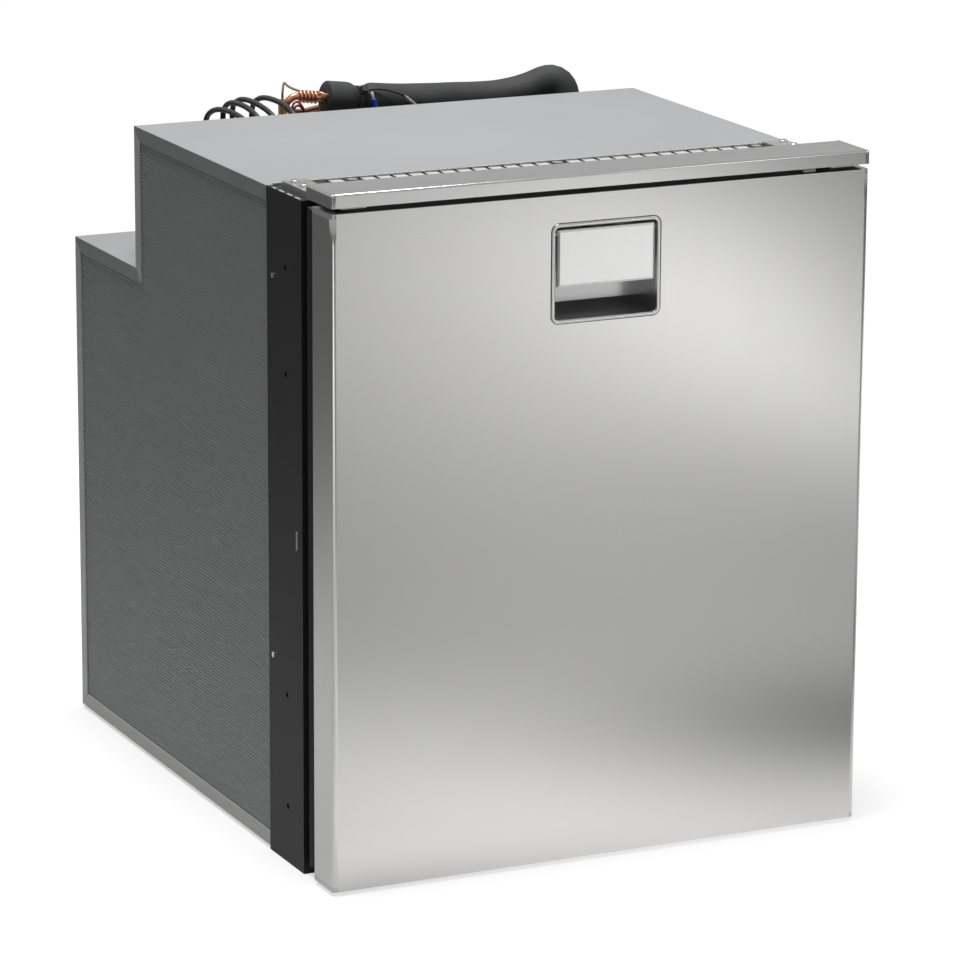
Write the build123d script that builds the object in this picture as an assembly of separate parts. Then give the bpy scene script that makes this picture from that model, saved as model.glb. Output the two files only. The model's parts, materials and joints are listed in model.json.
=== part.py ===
from build123d import *
import math
import os

# Drawer fridge: a built-in refrigerator whose whole front pulls out on runners.
# Millimetres, X to the right, Y to the back, Z up. Depths count from the drawer front's face
# and heights from the front frame's lower edge; the finished model is then moved along Y,
# so that its origin is the middle of its box's base.

# Overall sizes
front_width = 440.0
front_height = 510.5
front_depth = 34.5
front_overlap = 1.0
gasket_gap = 22.5
frame_depth = 65.0
frame_drop = 3.0
upper_depth = 334.0
lower_depth = 470.0
unit_space_height = 113.5
wall = 40.0

# Sheets and folds of the cabinet
frame_sheet = 1.2
casing_sheet = 1.0
side_sheet = 0.8
flange_width = 11.0
mitre_gap = 0.8
liner_thickness = 2.0

# Clearances
seat_gap = 0.3
pin_gap = 0.05
rib_gap = 0.5

# Trim bar, its brackets and their screws
trim_gap = 4.0
trim_height = 10.5
trim_depth = 45.5
trim_lip_proud = 0.5
trim_sheet = 1.2
trim_rear_lip = 6.5
trim_end = 3.5
trim_clip_inset = 50.0
trim_clip_station = 6.0
trim_clip_size = (10.0, 8.0)
trim_clip_drop = 3.0
bracket_hook_setback = 4.0
bracket_hook_drop = 2.0
bracket_inset = 19.0
bracket_width = 20.0
bracket_sheet = 1.5
bracket_rear_inset = 8.0
screw_inset = 15.5
screw_setbacks = (31.0, 48.0)
screw_shank = 3.8
screw_head = 7.2
screw_head_height = 2.2
screw_recess = 0.9
screw_length = 12.0

# Joint strip, tabs and rivets on the top
fold_strip_setback = 25.0
fold_strip_length = 22.5
fold_strip_inset = 32.0
fold_strip_height = 1.0
tab_inset = 12.0
tab_pitch = 13.0
tab_length = 10.0
tab_width = 15.0
tab_height = 1.0
top_rivet_insets = (31.0, 5.0)
middle_rivet_offset = 12.5
rivet_width = 8.0
rivet_height = 1.4

# Fixing holes, rivets, clips and bridges on the frame's sides
frame_hole_station = 30.0
outer_hole_rise = 44.5
outer_hole_drop = 55.2
inner_hole_rise = 131.9
inner_hole_drop = 135.5
frame_hole_width = 4.4
hole_pocket = 12.0
upper_rivet_setback = 53.4
upper_rivet_drop = 65.3
lower_rivet_setback = 55.8
lower_rivet_rise = 156.8
side_rivet_width = 4.4
side_rivet_height = 0.8
clip_setback = 9.9
clip_height = 14.0
clip_width = 2.0
clip_thickness = 0.6
clip_bottom = 249.0
bridge_count = 4
bridge_setback = 3.0
bridge_width = 1.5
bridge_pitch = 15.0
bridge_length = 9.5
bridge_height = 0.6

# Drawer front
skin_sheet = 1.0
front_cap_height = 3.5
front_cap_corner = 4.0
front_corner = 3.5
front_liner = 1.5
plug_clearance = 8.0
plug_depth = 15.0
gasket_inset = 6.0
gasket_width = 14.0
gasket_waist = 8.0

# Handle
handle_width = 89.5
handle_height = 75.0
handle_drop = 58.5
handle_corner = 5.0
bezel_ring = 3.0
bezel_proud = 1.0
cup_wall = 1.5
cup_back_room = 4.5
cup_margin = 1.5
scoop_rise = 7.0
back_plate = 1.0
flap_margin = 2.0
flap_height = 42.5
flap_thickness = 3.3
flap_bevel = 1.5
flap_pin_width = 3.0
flap_barrel = 5.4
barrel_length = 10.0
flap_pin_depth = 4.2
flap_pin_drop = 3.5
flap_pin_hold = 1.0
bolt_back_room = 1.8
lever_width = 8.0
lever_thickness = 3.0
bolt_width = 12.0
bolt_thickness = 3.0
bolt_foot = 12.0
spring_wire = 0.9
spring_turns = 5
spring_pitch = 1.8
spring_clearance = 0.25
spring_recess = 1.6
spring_end = 4.0

# Runners
runner_height = 45.0
runner_depth = 12.7
runner_sheet = 1.5
runner_back_gap = 7.0
runner_front = 80.0
runner_bottom = 225.0
runner_gap = 0.5
side_plate = 2.0
side_plate_foot = 18.0
side_plate_rise = 65.0
side_plate_drop = 15.0

# Bin and tray
bin_thickness = 2.5
bin_rim = 6.0
bin_front = 72.0
bin_back_gap = 25.0
bin_bottom = 53.0
bin_gap = 2.0
slot_count = 9
slot_width = 8.0
slot_height = 90.0
slot_bottom = 110.0
tray_side_inset = 1.0
tray_length = 240.0
tray_height = 50.0
tray_front = 80.0

# Cooling space fittings
evaporator_width = 300.0
evaporator_height = 80.0
evaporator_thickness = 3.0
evaporator_drop = 8.5
evaporator_gap = 3.0
evaporator_clip_width = 10.0
evaporator_clip_inset = (8.0, 12.0)
channel_count = 6
channel_width = 5.0
channel_inset = 15.0
fittings_setback = 40.0
thermostat_width = 70.0
thermostat_length = 70.0
thermostat_height = 50.0
thermostat_corner = 5.0
knob_width = 26.0
knob_depth = 12.0
knob_grip_width = 4.0
knob_grip_depth = 4.0
knob_shaft_length = 13.0
lens_length = 60.0
lens_width = 24.0
lens_height = 8.0
lens_corner = 3.0
drain_width = 22.0
drain_flange = 2.0
drain_wall = 2.0
drain_bore = 14.0
drain_station = 300.0
knob_shaft = 6.0

# Cooling unit on the step
unit_tray_side_gap = 5.0
unit_tray_inset = 11.0
unit_tray_gap = 4.0
unit_tray_sheet = 1.2
unit_tray_lip = 8.0
mount_height = 8.0
mount_width = 16.0
foot_sheet = 3.0
mount_offset = 34.0
web_reach = 24.0
web_height = 14.0
saddle_inset = 25.0
saddle_width = 24.0
compressor_gap = 20.0
compressor_length = 100.0
compressor_width = 74.0
compressor_round = 16.0
compressor_setback = 85.0
compressor_seam = 4.0
seam_proud = 1.5
port_height = 4.0
port_sleeve = 1.5
port_setback = 79.0
suction_port_inset = 16.0
discharge_port_inset = 20.0
cover_depth = 12.0
cover_sunk = 4.0
cover_half_width = 18.0
cover_drop = 22.0
cover_rise = 14.0
control_box_inset = 24.0
control_box_width = 50.0
control_box_gap = 7.0
control_box_length = 45.0
control_box_height = 85.0
control_box_corner = 4.0
gland_rise = 32.0
gland_length = 10.0
gland_wall = 2.5
grommet_wall = 3.5
collar_wall = 4.5
grommet_depth = 3.0
outlet_depth = 20.0
suction_outlet_offset = 170.0
suction_outlet_rise = 55.0
cable_outlet_offset = -76.0
cable_outlet_rise = 60.0
condenser_length = 110.0
condenser_setback = 100.0
fin_inset = 22.0
fin_width = 40.0
fin_height = 84.0
fin_sheet = 0.5
fin_count = 20
coil_passes = 4
coil_pitch = 20.0
coil_bend = 9.5
coil_rise = 12.0
coil_inset = 8.0
coil_entry = 12.0
pipe_width = 6.0
liquid_line_setback = 34.0
fan_size = 80.0
fan_depth = 25.0
fan_gap = 3.0
fan_bore = 74.0
fan_hub = 32.0
fan_blades = 7
fan_tip_gap = 2.0
fan_hub_depth = 5.0
fan_arm_width = 4.0
fan_arm_setback = 1.0
fan_arm_sunk = 0.5
fan_rotor_setback = 3.0
fan_shaft_setback = 4.0
blade_sheet = 1.6
blade_chord = 17.0
blade_sunk = 2.0
blade_angle = 38.0
fan_shaft = 4.0
drier_gap = 30.0
drier_setback = 97.0
drier_rise = 23.0
drier_width = 19.0
drier_length = 70.0
drier_corner = 3.0
drier_shoulder = 6.0
drier_neck_width = 7.0
drier_neck_height = 14.0

# Foam-covered pipe, tie, capillary and wires
sleeve_width = 28.0
sleeve_bore = 6.3
waist_width = 20.0
waist_length = 9.0
tie_width = 4.8
tie_thickness = 1.4
tie_head = 5.5
tie_tail = 2.0
tie_distance = 29.9
sleeve_distance = 58.6
capillary_distance = 66.0
capillary_width = 2.0
capillary_turns = 5
capillary_pitch = 3.4
wire_width = 2.0
terminal_width = 4.4
terminal_length = 12.0
terminal_tip = 6.0

# Coiled cable
cable_width = 5.0
hank_turns = 4
hank_pitch = 13.0
hank_right = -75.0
hank_setback = 44.0
hank_rise = 90.0
hank_half_length = 38.0
hank_half_height = 24.0
cable_clearance = 1.5

# Pads under the casing
pad_size = 30.0
pad_inset = 69.0
pad_setback = 38.0
pad_rear_inset = 47.0

# Levels and stations worked out from the sizes
cabinet_width = front_width - 2 * front_overlap
half_front = front_width / 2
half_cabinet = cabinet_width / 2
half_inside = half_cabinet - wall
frame_front = front_depth + gasket_gap
frame_back = frame_front + frame_depth
upper_rear = frame_front + upper_depth
lower_rear = frame_front + lower_depth
casing_bottom = frame_drop
casing_top = frame_drop + front_height
step_top = casing_top - unit_space_height
trim_bottom = casing_top + trim_gap
trim_top = trim_bottom + trim_height
trim_ceiling = trim_top - trim_sheet
floor_inside = casing_bottom + wall
ceiling_inside = casing_top - wall
model_shift = bezel_proud - (bezel_proud + lower_rear) / 2

# Frame holes, brackets and the joint on the top
frame_hole_depth = frame_front + frame_hole_station
outer_holes = (outer_hole_rise, casing_top - outer_hole_drop)
inner_holes = (inner_hole_rise, casing_top - inner_hole_drop)
side_rivets = (
    (frame_front + upper_rivet_setback, casing_top - upper_rivet_drop),
    (frame_front + lower_rivet_setback, lower_rivet_rise),
)
clip_station = frame_front + clip_setback
bracket_offset = half_cabinet - bracket_inset
bracket_rear = frame_back - bracket_rear_inset
screw_offset = half_cabinet - screw_inset
screw_stations = tuple(frame_front + setback for setback in screw_setbacks)
fold_strip_front = frame_back - fold_strip_setback
fold_strip_half = half_cabinet - fold_strip_inset
tab_count = int(2 * (fold_strip_half - tab_inset) // tab_pitch) + 1
top_rivet_places = (
    top_rivet_insets[0] - fold_strip_half,
    middle_rivet_offset,
    fold_strip_half - top_rivet_insets[1],
)
pad_offset = half_cabinet - pad_inset
pad_stations = (frame_back + pad_setback, lower_rear - pad_rear_inset)

# Handle, from its bezel in to the latch
handle_centre = casing_top - handle_drop
handle_ceiling = handle_centre + handle_height / 2 - bezel_ring
handle_floor = handle_centre - handle_height / 2 + bezel_ring
cup_depth = front_depth - cup_back_room
flap_top = handle_ceiling - flap_margin
flap_pin_height = flap_top - flap_pin_drop
handle_bolt_front = cup_depth - bolt_back_room - bolt_thickness
lever_reach = handle_bolt_front - bolt_thickness / 2 - flap_pin_depth
bolt_top = trim_bottom - 2 * rib_gap
spring_room = flap_pin_width + 2 * spring_wire + spring_recess

# Runners, bin and tray
liner_back = lower_rear - wall
runner_length = liner_back - runner_back_gap - runner_front
runner_middle = runner_bottom + runner_height / 2
side_plate_top = runner_bottom + side_plate_rise
side_plate_bottom = runner_bottom - side_plate_drop
bin_half = half_inside - runner_depth - side_plate - bin_gap
bin_back = liner_back - bin_back_gap
bin_length = bin_back - bin_front
bin_top = side_plate_top + seat_gap + bin_thickness
slot_span = (slot_bottom, slot_bottom + slot_height)

# Cooling unit, set out from the upper rear panel and the top of the step
unit_floor = step_top + unit_tray_sheet
control_box_left = control_box_inset - half_cabinet
control_box_right = control_box_left + control_box_width
control_box_front = upper_rear + control_box_gap
box_gland = (
    control_box_left + control_box_width / 2,
    control_box_front + control_box_length,
    step_top + gland_rise,
)
unit_tray_left = control_box_right + unit_tray_side_gap
unit_tray_right = half_cabinet - unit_tray_inset
unit_tray_front = upper_rear + unit_tray_gap
unit_tray_back = lower_rear - unit_tray_gap
condenser_left = unit_tray_right - condenser_length
condenser_station = upper_rear + condenser_setback
coil_left = condenser_left + coil_inset
coil_right = condenser_left + condenser_length - coil_inset
coil_low = unit_floor + coil_rise
coil_high = coil_low + (coil_passes - 1) * coil_pitch
coil_end = (coil_left - coil_entry, condenser_station, coil_high)
liquid_line_station = upper_rear + liquid_line_setback
fan_centre = condenser_left + condenser_length / 2
fan_front = condenser_station - fin_width / 2 - fan_gap - fan_depth
compressor_right = condenser_left - compressor_gap
compressor_left = compressor_right - compressor_length
compressor_centre = (compressor_left + compressor_right) / 2
compressor_station = upper_rear + compressor_setback
compressor_middle = unit_floor + mount_height + foot_sheet / 2 + compressor_width / 2
saddle_stations = (compressor_left + saddle_inset, compressor_right - saddle_inset)
port_top = compressor_middle + compressor_width / 2 + port_height
suction_port = (compressor_left + suction_port_inset, upper_rear + port_setback)
discharge_port = (compressor_right - discharge_port_inset, upper_rear + port_setback)
drier_place = (compressor_left - drier_gap, upper_rear + drier_setback)
drier_foot = step_top + drier_rise
drier_neck_base = drier_foot + drier_length
drier_neck_top = drier_neck_base + drier_neck_height
suction_outlet = (suction_outlet_offset, step_top + suction_outlet_rise)
cable_outlet = (cable_outlet_offset, step_top + cable_outlet_rise)
panel_outlets = (
    suction_outlet + (sleeve_width + 2 * rib_gap,),
    cable_outlet + (cable_width + 2 * cable_clearance,),
)
hank_station = upper_rear + hank_setback
hank_height = step_top + hank_rise

nodes = {}


# Shapes that several sub-parts share

def block(x0, x1, y0, y1, z0, z1):
    size = (x1 - x0, y1 - y0, z1 - z0)
    return Pos((x0 + x1) / 2, (y0 + y1) / 2, (z0 + z1) / 2) * Box(*size)


def rod(start, end, width):
    axis = Vector(*end) - Vector(*start)
    return extrude(Plane(Vector(*start), z_dir=axis) * Circle(width / 2), axis.length)


def ring(start, end, width, bore):
    axis = Vector(*end) - Vector(*start)
    section = Circle(width / 2) - Circle(bore / 2)
    return extrude(Plane(Vector(*start), z_dir=axis) * section, axis.length)


def slab_x(points, x0, x1):
    face = make_face(Plane.YZ.offset(x0) * Polyline(*points, close=True))
    return extrude(face, x1 - x0, dir=(1, 0, 0))


def slab_y(sketch, y0, y1):
    return extrude(Plane.XZ.offset(-y0) * sketch, y1 - y0, dir=(0, 1, 0))


def upright(width, height, corner, z_middle):
    return Pos(0, z_middle) * RectangleRounded(width, height, corner)


def group(pieces):
    return Compound([solid for piece in pieces for solid in piece.solids()])


def both_sides(piece):
    return group([piece, mirror(piece, Plane.YZ)])


def keep(name, shape):
    nodes[name] = shape


def on_step(x, back, up):
    # Place counted from the middle, the upper rear panel and the top of the step
    return (x, upper_rear + back, step_top + up)


def swept(path, width, bore=0.0):
    section_plane = Plane(path @ 0, z_dir=path % 0)
    body = sweep(section_plane * Circle(width / 2), path)
    if bore:
        body = body - sweep(section_plane * Circle(bore / 2), path)
    return body


def bend_radii(points, share):
    radii = []
    for before, corner, after in zip(points, points[1:], points[2:]):
        run_in = Vector(*corner) - Vector(*before)
        run_out = Vector(*after) - Vector(*corner)
        turn = run_in.get_angle(run_out)
        shorter = min(run_in.length, run_out.length)
        radii.append(share * shorter / math.tan(math.radians(turn / 2)))
    return radii


def bent_path(points, share=0.45):
    return FilletPolyline(*points, radius=bend_radii(points, share))


def biarc(start, start_way, end, end_way):
    chord = end - start
    ways = start_way + end_way
    a = 2 * (start_way.dot(end_way) - 1)
    b = -2 * chord.dot(ways)
    c = chord.dot(chord)
    reach = (-b - math.sqrt(b * b - 4 * a * c)) / (2 * a)
    first_corner = start + start_way * reach
    second_corner = end - end_way * reach
    middle = (first_corner + second_corner) * 0.5
    middle_way = (second_corner - first_corner).normalized()
    return [
        Edge.make_tangent_arc(start, start_way, middle),
        Edge.make_tangent_arc(middle, middle_way, end),
    ]


def coil_station(plane, half_a, half_b, pitch, quarter):
    angle = quarter * math.pi / 2
    rise = pitch * quarter / 4
    place = Vector(half_a * math.sin(angle), -half_b * math.cos(angle), rise)
    way = Vector(half_a * math.cos(angle), half_b * math.sin(angle), pitch / (2 * math.pi))
    moved = plane.from_local_coords(place)
    turned = plane.from_local_coords(place + way) - moved
    return moved, turned.normalized()


def coil_edges(plane, half_a, half_b, pitch, turns):
    edges = []
    for quarter in range(4 * turns):
        start, start_way = coil_station(plane, half_a, half_b, pitch, quarter)
        end, end_way = coil_station(plane, half_a, half_b, pitch, quarter + 1)
        edges += biarc(start, start_way, end, end_way)
    return edges


def least_gap(edges, width, apart):
    # Smallest clear distance between stretches of a coil that lie at least apart along it
    samples = []
    travelled = 0.0
    steps = 8
    for edge in edges:
        for step in range(steps):
            samples.append((travelled + edge.length * step / steps, edge @ (step / steps)))
        travelled += edge.length
    nearest = min(
        (p - q).length
        for i, (s, p) in enumerate(samples)
        for t, q in samples[i + 1:]
        if t - s > apart
    )
    return nearest - width


# Cabinet

def stepped(inset, front):
    return [
        (front, casing_bottom + inset),
        (lower_rear - inset, casing_bottom + inset),
        (lower_rear - inset, step_top - inset),
        (upper_rear - inset, step_top - inset),
        (upper_rear - inset, casing_top - inset),
        (front, casing_top - inset),
    ]


def casing_panel(edge):
    outer = stepped(0, frame_back)
    inner = stepped(casing_sheet, frame_back)
    fold = stepped(flange_width, frame_back)
    strip = [outer[edge], outer[edge + 1], inner[edge + 1], inner[edge]]
    sheet = slab_x(strip, -half_cabinet, half_cabinet)
    way = (Vector(*outer[edge + 1]) - Vector(*outer[edge])).normalized()
    shift = (way.X * mitre_gap / 2, way.Y * mitre_gap / 2)
    corners = [
        (outer[edge][0] + shift[0], outer[edge][1] + shift[1]),
        (outer[edge + 1][0] - shift[0], outer[edge + 1][1] - shift[1]),
        (fold[edge + 1][0] - shift[0], fold[edge + 1][1] - shift[1]),
        (fold[edge][0] + shift[0], fold[edge][1] + shift[1]),
    ]
    flange = slab_x(corners, half_cabinet - casing_sheet, half_cabinet)
    return sheet + flange + mirror(flange, Plane.YZ)


def make_casing():
    base, rear_lower, step, rear_upper, top = [casing_panel(edge) for edge in range(5)]
    for x, z, width in panel_outlets:
        rear_upper = rear_upper - rod((x, upper_rear - 2 * casing_sheet, z), (x, upper_rear + 1, z), width)
    keep("base_panel", base)
    keep("step_panel", step)
    keep("top_panel", top)
    keep("rear_panels", group([rear_lower, rear_upper]))
    side = slab_x(
        stepped(casing_sheet, frame_back),
        half_cabinet - casing_sheet - side_sheet,
        half_cabinet - casing_sheet,
    )
    keep("side_panels", both_sides(side))
    pad = Box(pad_size, pad_size, casing_bottom, align=(Align.CENTER, Align.CENTER, Align.MIN))
    pads = [Pos(x, y, 0) * pad for x in (-pad_offset, pad_offset) for y in pad_stations]
    keep("base_pads", group(pads))


def side_holes(width, depth):
    holes = []
    for z in outer_holes + inner_holes:
        start = (half_cabinet + 1, frame_hole_depth, z)
        end = (half_cabinet - depth, frame_hole_depth, z)
        holes.append(rod(start, end, width))
    return both_sides(group(holes))


def screw_bores(width, top, bottom):
    bores = []
    for x in (-screw_offset, screw_offset):
        for y in screw_stations:
            bores.append(rod((x, y, bottom), (x, y, top), width))
    return group(bores)


def make_frame():
    shell = block(-half_cabinet, half_cabinet, frame_front, frame_back, 0, casing_top)
    inner_half = half_cabinet - frame_sheet
    hollow = block(
        -inner_half, inner_half, frame_front + frame_sheet, frame_back + 1,
        frame_sheet, casing_top - frame_sheet,
    )
    mouth = block(
        -half_inside, half_inside, frame_front - 1, frame_back, floor_inside, ceiling_inside
    )
    frame = shell - hollow - mouth - side_holes(frame_hole_width, frame_sheet + 1)
    frame = frame - screw_bores(screw_shank + 2 * pin_gap, casing_top + 1, casing_top - 3)
    keep("front_frame", frame)


def liner_block(inset, front):
    half = half_cabinet - inset
    return slab_x(stepped(inset, front), -half, half)


def make_insulation():
    liner_front = frame_front + frame_sheet
    liner_outer = liner_block(wall - liner_thickness, liner_front)
    liner = liner_outer - liner_block(wall, frame_front)
    drain = rod((0, drain_station, 0), (0, drain_station, floor_inside + 1), drain_bore)
    keep("inner_liner", liner - drain)
    frame_half = half_cabinet - frame_sheet
    front_foam = block(
        -frame_half, frame_half, liner_front, frame_back, frame_sheet, casing_top - frame_sheet
    )
    side_inset = casing_sheet + side_sheet
    rear_foam = slab_x(
        stepped(casing_sheet, frame_back), side_inset - half_cabinet, half_cabinet - side_inset
    )
    foam = front_foam + rear_foam - liner_outer
    foam = foam - side_holes(frame_hole_width + 2, hole_pocket)
    bore_bottom = casing_top + trim_gap - screw_length - 1
    foam = foam - screw_bores(screw_shank + 1, casing_top, bore_bottom)
    foam = foam - drain
    for x, z, width in panel_outlets:
        foam = foam - rod((x, upper_rear - outlet_depth, z), (x, upper_rear, z), width)
    keep("foam_core", foam)


def make_frame_details():
    rivets = []
    for y, z in side_rivets:
        start = (half_cabinet, y, z)
        end = (half_cabinet + side_rivet_height, y, z)
        rivets.append(rod(start, end, side_rivet_width))
    middle = fold_strip_front + fold_strip_length / 2
    strip_top = casing_top + fold_strip_height
    top_rivets = [
        rod((x, middle, strip_top), (x, middle, strip_top + rivet_height), rivet_width)
        for x in top_rivet_places
    ]
    keep("rivets", group([both_sides(group(rivets))] + top_rivets))
    clip = block(
        half_cabinet, half_cabinet + clip_thickness, clip_station - clip_width / 2,
        clip_station + clip_width / 2, clip_bottom, clip_bottom + clip_height,
    )
    x = half_front - trim_clip_inset
    y = trim_clip_station
    size_x, size_y = trim_clip_size
    trim_clip = block(
        x - size_x / 2, x + size_x / 2, y - size_y / 2, y + size_y / 2,
        trim_bottom - trim_clip_drop, trim_ceiling,
    )
    keep("small_clips", group([both_sides(clip), trim_clip]))


def make_bridges():
    bridges = []
    for i in range(bridge_count):
        y = frame_front + bridge_setback + i * bridge_pitch
        bridges.append(block(
            half_cabinet - bridge_width, half_cabinet, y, y + bridge_length,
            casing_top, casing_top + bridge_height,
        ))
    return both_sides(group(bridges))


def make_top_joint():
    strip_top = casing_top + fold_strip_height
    strip_back = fold_strip_front + fold_strip_length
    strip = block(
        -fold_strip_half, fold_strip_half, fold_strip_front, strip_back, casing_top, strip_top
    )
    keep("top_fold_strip", strip)
    tabs = []
    first = -tab_pitch * (tab_count - 1) / 2
    tab_front = fold_strip_front + (fold_strip_length - tab_width) / 2
    for i in range(tab_count):
        x = first + i * tab_pitch
        blocked = any(abs(x - place) < (tab_length + rivet_width) / 2 for place in top_rivet_places)
        if not blocked:
            tabs.append(block(
                x - tab_length / 2, x + tab_length / 2, tab_front, tab_front + tab_width,
                strip_top, strip_top + tab_height,
            ))
    keep("edge_tabs", group(tabs + [make_bridges()]))


# Trim bar and brackets

def make_trim():
    front = -trim_lip_proud
    back = trim_depth - trim_lip_proud
    half = half_front - trim_end
    profile = [
        (front, trim_bottom), (front, trim_top), (back, trim_top), (back, trim_top - trim_rear_lip),
        (back - trim_sheet, trim_top - trim_rear_lip), (back - trim_sheet, trim_ceiling),
        (front + trim_sheet, trim_ceiling), (front + trim_sheet, trim_bottom),
    ]
    keep("trim_bar", slab_x(profile, -half, half))
    cap = block(half, half_front, front, back, trim_bottom, trim_top)
    outer_edge = cap.edges().filter_by(Axis.Z).group_by(Axis.Y)[0].group_by(Axis.X)[-1]
    keep("trim_end_caps", both_sides(fillet(outer_edge, trim_end * 0.7)))
    striker_front = handle_bolt_front - bolt_thickness - seat_gap
    leg = block(
        -bolt_width, bolt_width, striker_front, striker_front + bolt_thickness / 2,
        trim_bottom + seat_gap, trim_ceiling,
    )
    plate = block(
        -bolt_width, bolt_width, striker_front, striker_front + 4 * bolt_thickness,
        trim_ceiling - bolt_thickness / 2, trim_ceiling,
    )
    keep("striker", leg + plate)


def make_brackets():
    top = trim_bottom
    low = top - bracket_sheet
    back = trim_depth - trim_lip_proud
    riser = back - trim_sheet - seat_gap - bracket_sheet
    leg_front = trim_sheet + bracket_hook_setback
    leg_low = trim_bottom - bracket_hook_drop
    profile = [
        (bracket_rear, low), (bracket_rear, top), (riser + bracket_sheet, top),
        (riser + bracket_sheet, trim_ceiling), (leg_front, trim_ceiling),
        (leg_front, leg_low), (leg_front + bracket_sheet, leg_low),
        (leg_front + bracket_sheet, trim_ceiling - bracket_sheet),
        (riser, trim_ceiling - bracket_sheet), (riser, low),
    ]
    x0 = bracket_offset - bracket_width / 2
    x1 = bracket_offset + bracket_width / 2
    bracket = slab_x(profile, x0, x1)
    for x in (x0, x1 - bracket_sheet):
        bracket = bracket + block(x, x + bracket_sheet, frame_front, bracket_rear, casing_top, low)
    bores = screw_bores(screw_shank + 2 * pin_gap, top + 1, casing_top)
    keep("trim_brackets", both_sides(bracket - bores))
    screws = []
    for x in (-screw_offset, screw_offset):
        for y in screw_stations:
            shank = rod((x, y, top - screw_length), (x, y, top), screw_shank)
            head = rod((x, y, top), (x, y, top + screw_head_height), screw_head)
            head = fillet(head.edges().group_by(Axis.Z)[-1], screw_head_height * 0.6)
            recess_bottom = top + screw_head_height / 2
            cross = Pos(x, y, recess_bottom + screw_head_height) * (
                Box(screw_recess, screw_head * 0.6, 2 * screw_head_height)
                + Box(screw_head * 0.6, screw_recess, 2 * screw_head_height)
            )
            screws.append(shank + head - cross)
    keep("bracket_screws", group(screws))


# Drawer front

def front_plan(z0, z1, inset=0.0):
    half = half_front - inset
    body = block(-half, half, inset, front_depth, z0, z1)
    edges = body.edges().filter_by(Axis.Z).group_by(Axis.Y)[0]
    return fillet(edges, front_corner - inset)


def handle_hole(margin):
    width = handle_width - 2 * margin
    height = handle_height - 2 * margin
    return upright(width, height, handle_corner - margin * 0.8, handle_centre)


def make_front_shell():
    z0 = casing_bottom + front_cap_height
    z1 = casing_top - front_cap_height
    core_back = front_depth - front_liner
    opening = slab_y(handle_hole(cup_margin), -1, core_back)
    solid_core = block(
        skin_sheet - half_front, half_front - skin_sheet, skin_sheet, core_back, z0, z1
    )
    inner = front_plan(z0, z1, skin_sheet)
    pocket = block(
        skin_sheet - half_front, half_front - skin_sheet, front_depth / 2, front_depth + 1, z0, z1
    )
    sheet_half = half_front - front_cap_corner
    front_sheet = block(-sheet_half, sheet_half, 0, skin_sheet, casing_bottom, casing_top)
    skin = front_plan(z0, z1) - inner - pocket + front_sheet - opening
    keep("drawer_skin", skin)
    channel = block(
        -bolt_width / 2 - 1, bolt_width / 2 + 1, handle_bolt_front - 1,
        handle_bolt_front + bolt_thickness + 1, handle_centre, casing_top + 1,
    )
    bottom_cap = front_plan(casing_bottom, z0) - front_sheet
    top_cap = front_plan(z1, casing_top) - front_sheet - channel
    keep("front_end_caps", group([bottom_cap, top_cap]))
    half = half_front - skin_sheet
    liner = block(-half, half, core_back, front_depth, z0, z1)
    plug_back = front_depth + plug_depth
    plug = plug_block(plug_clearance, core_back, plug_back)
    filling = plug_block(plug_clearance + front_liner, core_back, plug_back - front_liner)
    keep("drawer_liner", liner + plug - filling)
    keep("drawer_core", ((inner & solid_core) - opening - channel) + filling)


def plug_block(inset, y0, y1):
    half = half_inside - inset
    return block(-half, half, y0, y1, floor_inside + inset, ceiling_inside - inset)


def gasket_layer(width, y0, y1):
    outer_half = half_front - gasket_inset
    low = casing_bottom + gasket_inset
    high = casing_top - gasket_inset
    outer = block(-outer_half, outer_half, y0, y1, low, high)
    inner_half = outer_half - width
    return outer - block(-inner_half, inner_half, y0, y1, low + width, high - width)


def make_gasket():
    back = frame_front - seat_gap
    third = (back - front_depth) / 3
    layers = [
        gasket_layer(width, front_depth + i * third, front_depth + (i + 1) * third)
        for i, width in enumerate((gasket_width, gasket_waist, gasket_width))
    ]
    keep("gasket", layers[0] + layers[1] + layers[2])


# Handle

def make_handle_shell():
    opening = handle_hole(bezel_ring)
    bezel = slab_y(handle_hole(0) - opening, -bezel_proud, 0)
    bezel = bezel + slab_y(handle_hole(cup_margin + pin_gap) - opening, 0, skin_sheet)
    keep("handle_bezel", bezel)
    cup = slab_y(handle_hole(cup_margin + pin_gap), skin_sheet, cup_depth + cup_wall)
    half = handle_width / 2 - bezel_ring
    scoop_middle = (cup_depth * 0.65, handle_floor + scoop_rise * 0.22)
    line = Line((cup_depth, handle_floor + scoop_rise), (cup_depth, handle_ceiling))
    top = Line((cup_depth, handle_ceiling), (0, handle_ceiling))
    front = Line((0, handle_ceiling), (0, handle_floor))
    scoop = ThreePointArc(
        (0, handle_floor), scoop_middle, (cup_depth, handle_floor + scoop_rise)
    )
    side = make_face(Plane.YZ.offset(-half) * Curve([line, top, front, scoop]))
    cavity = extrude(side, 2 * half, dir=(1, 0, 0))
    slot = block(
        -bolt_width / 2 - rib_gap, bolt_width / 2 + rib_gap, handle_bolt_front - rib_gap,
        handle_bolt_front + bolt_thickness + rib_gap, handle_ceiling - 1, handle_ceiling + 5,
    )
    pin_bore = rod(
        (-half - 1, flap_pin_depth, flap_pin_height),
        (half + 1, flap_pin_depth, flap_pin_height), flap_pin_width + 2 * pin_gap,
    )
    keep("handle_cup", cup - cavity - slot - pin_bore)
    plate = block(
        -half, half, cup_depth - back_plate, cup_depth,
        handle_floor + scoop_rise, handle_ceiling,
    )
    keep("handle_back_plate", plate - slot)


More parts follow.
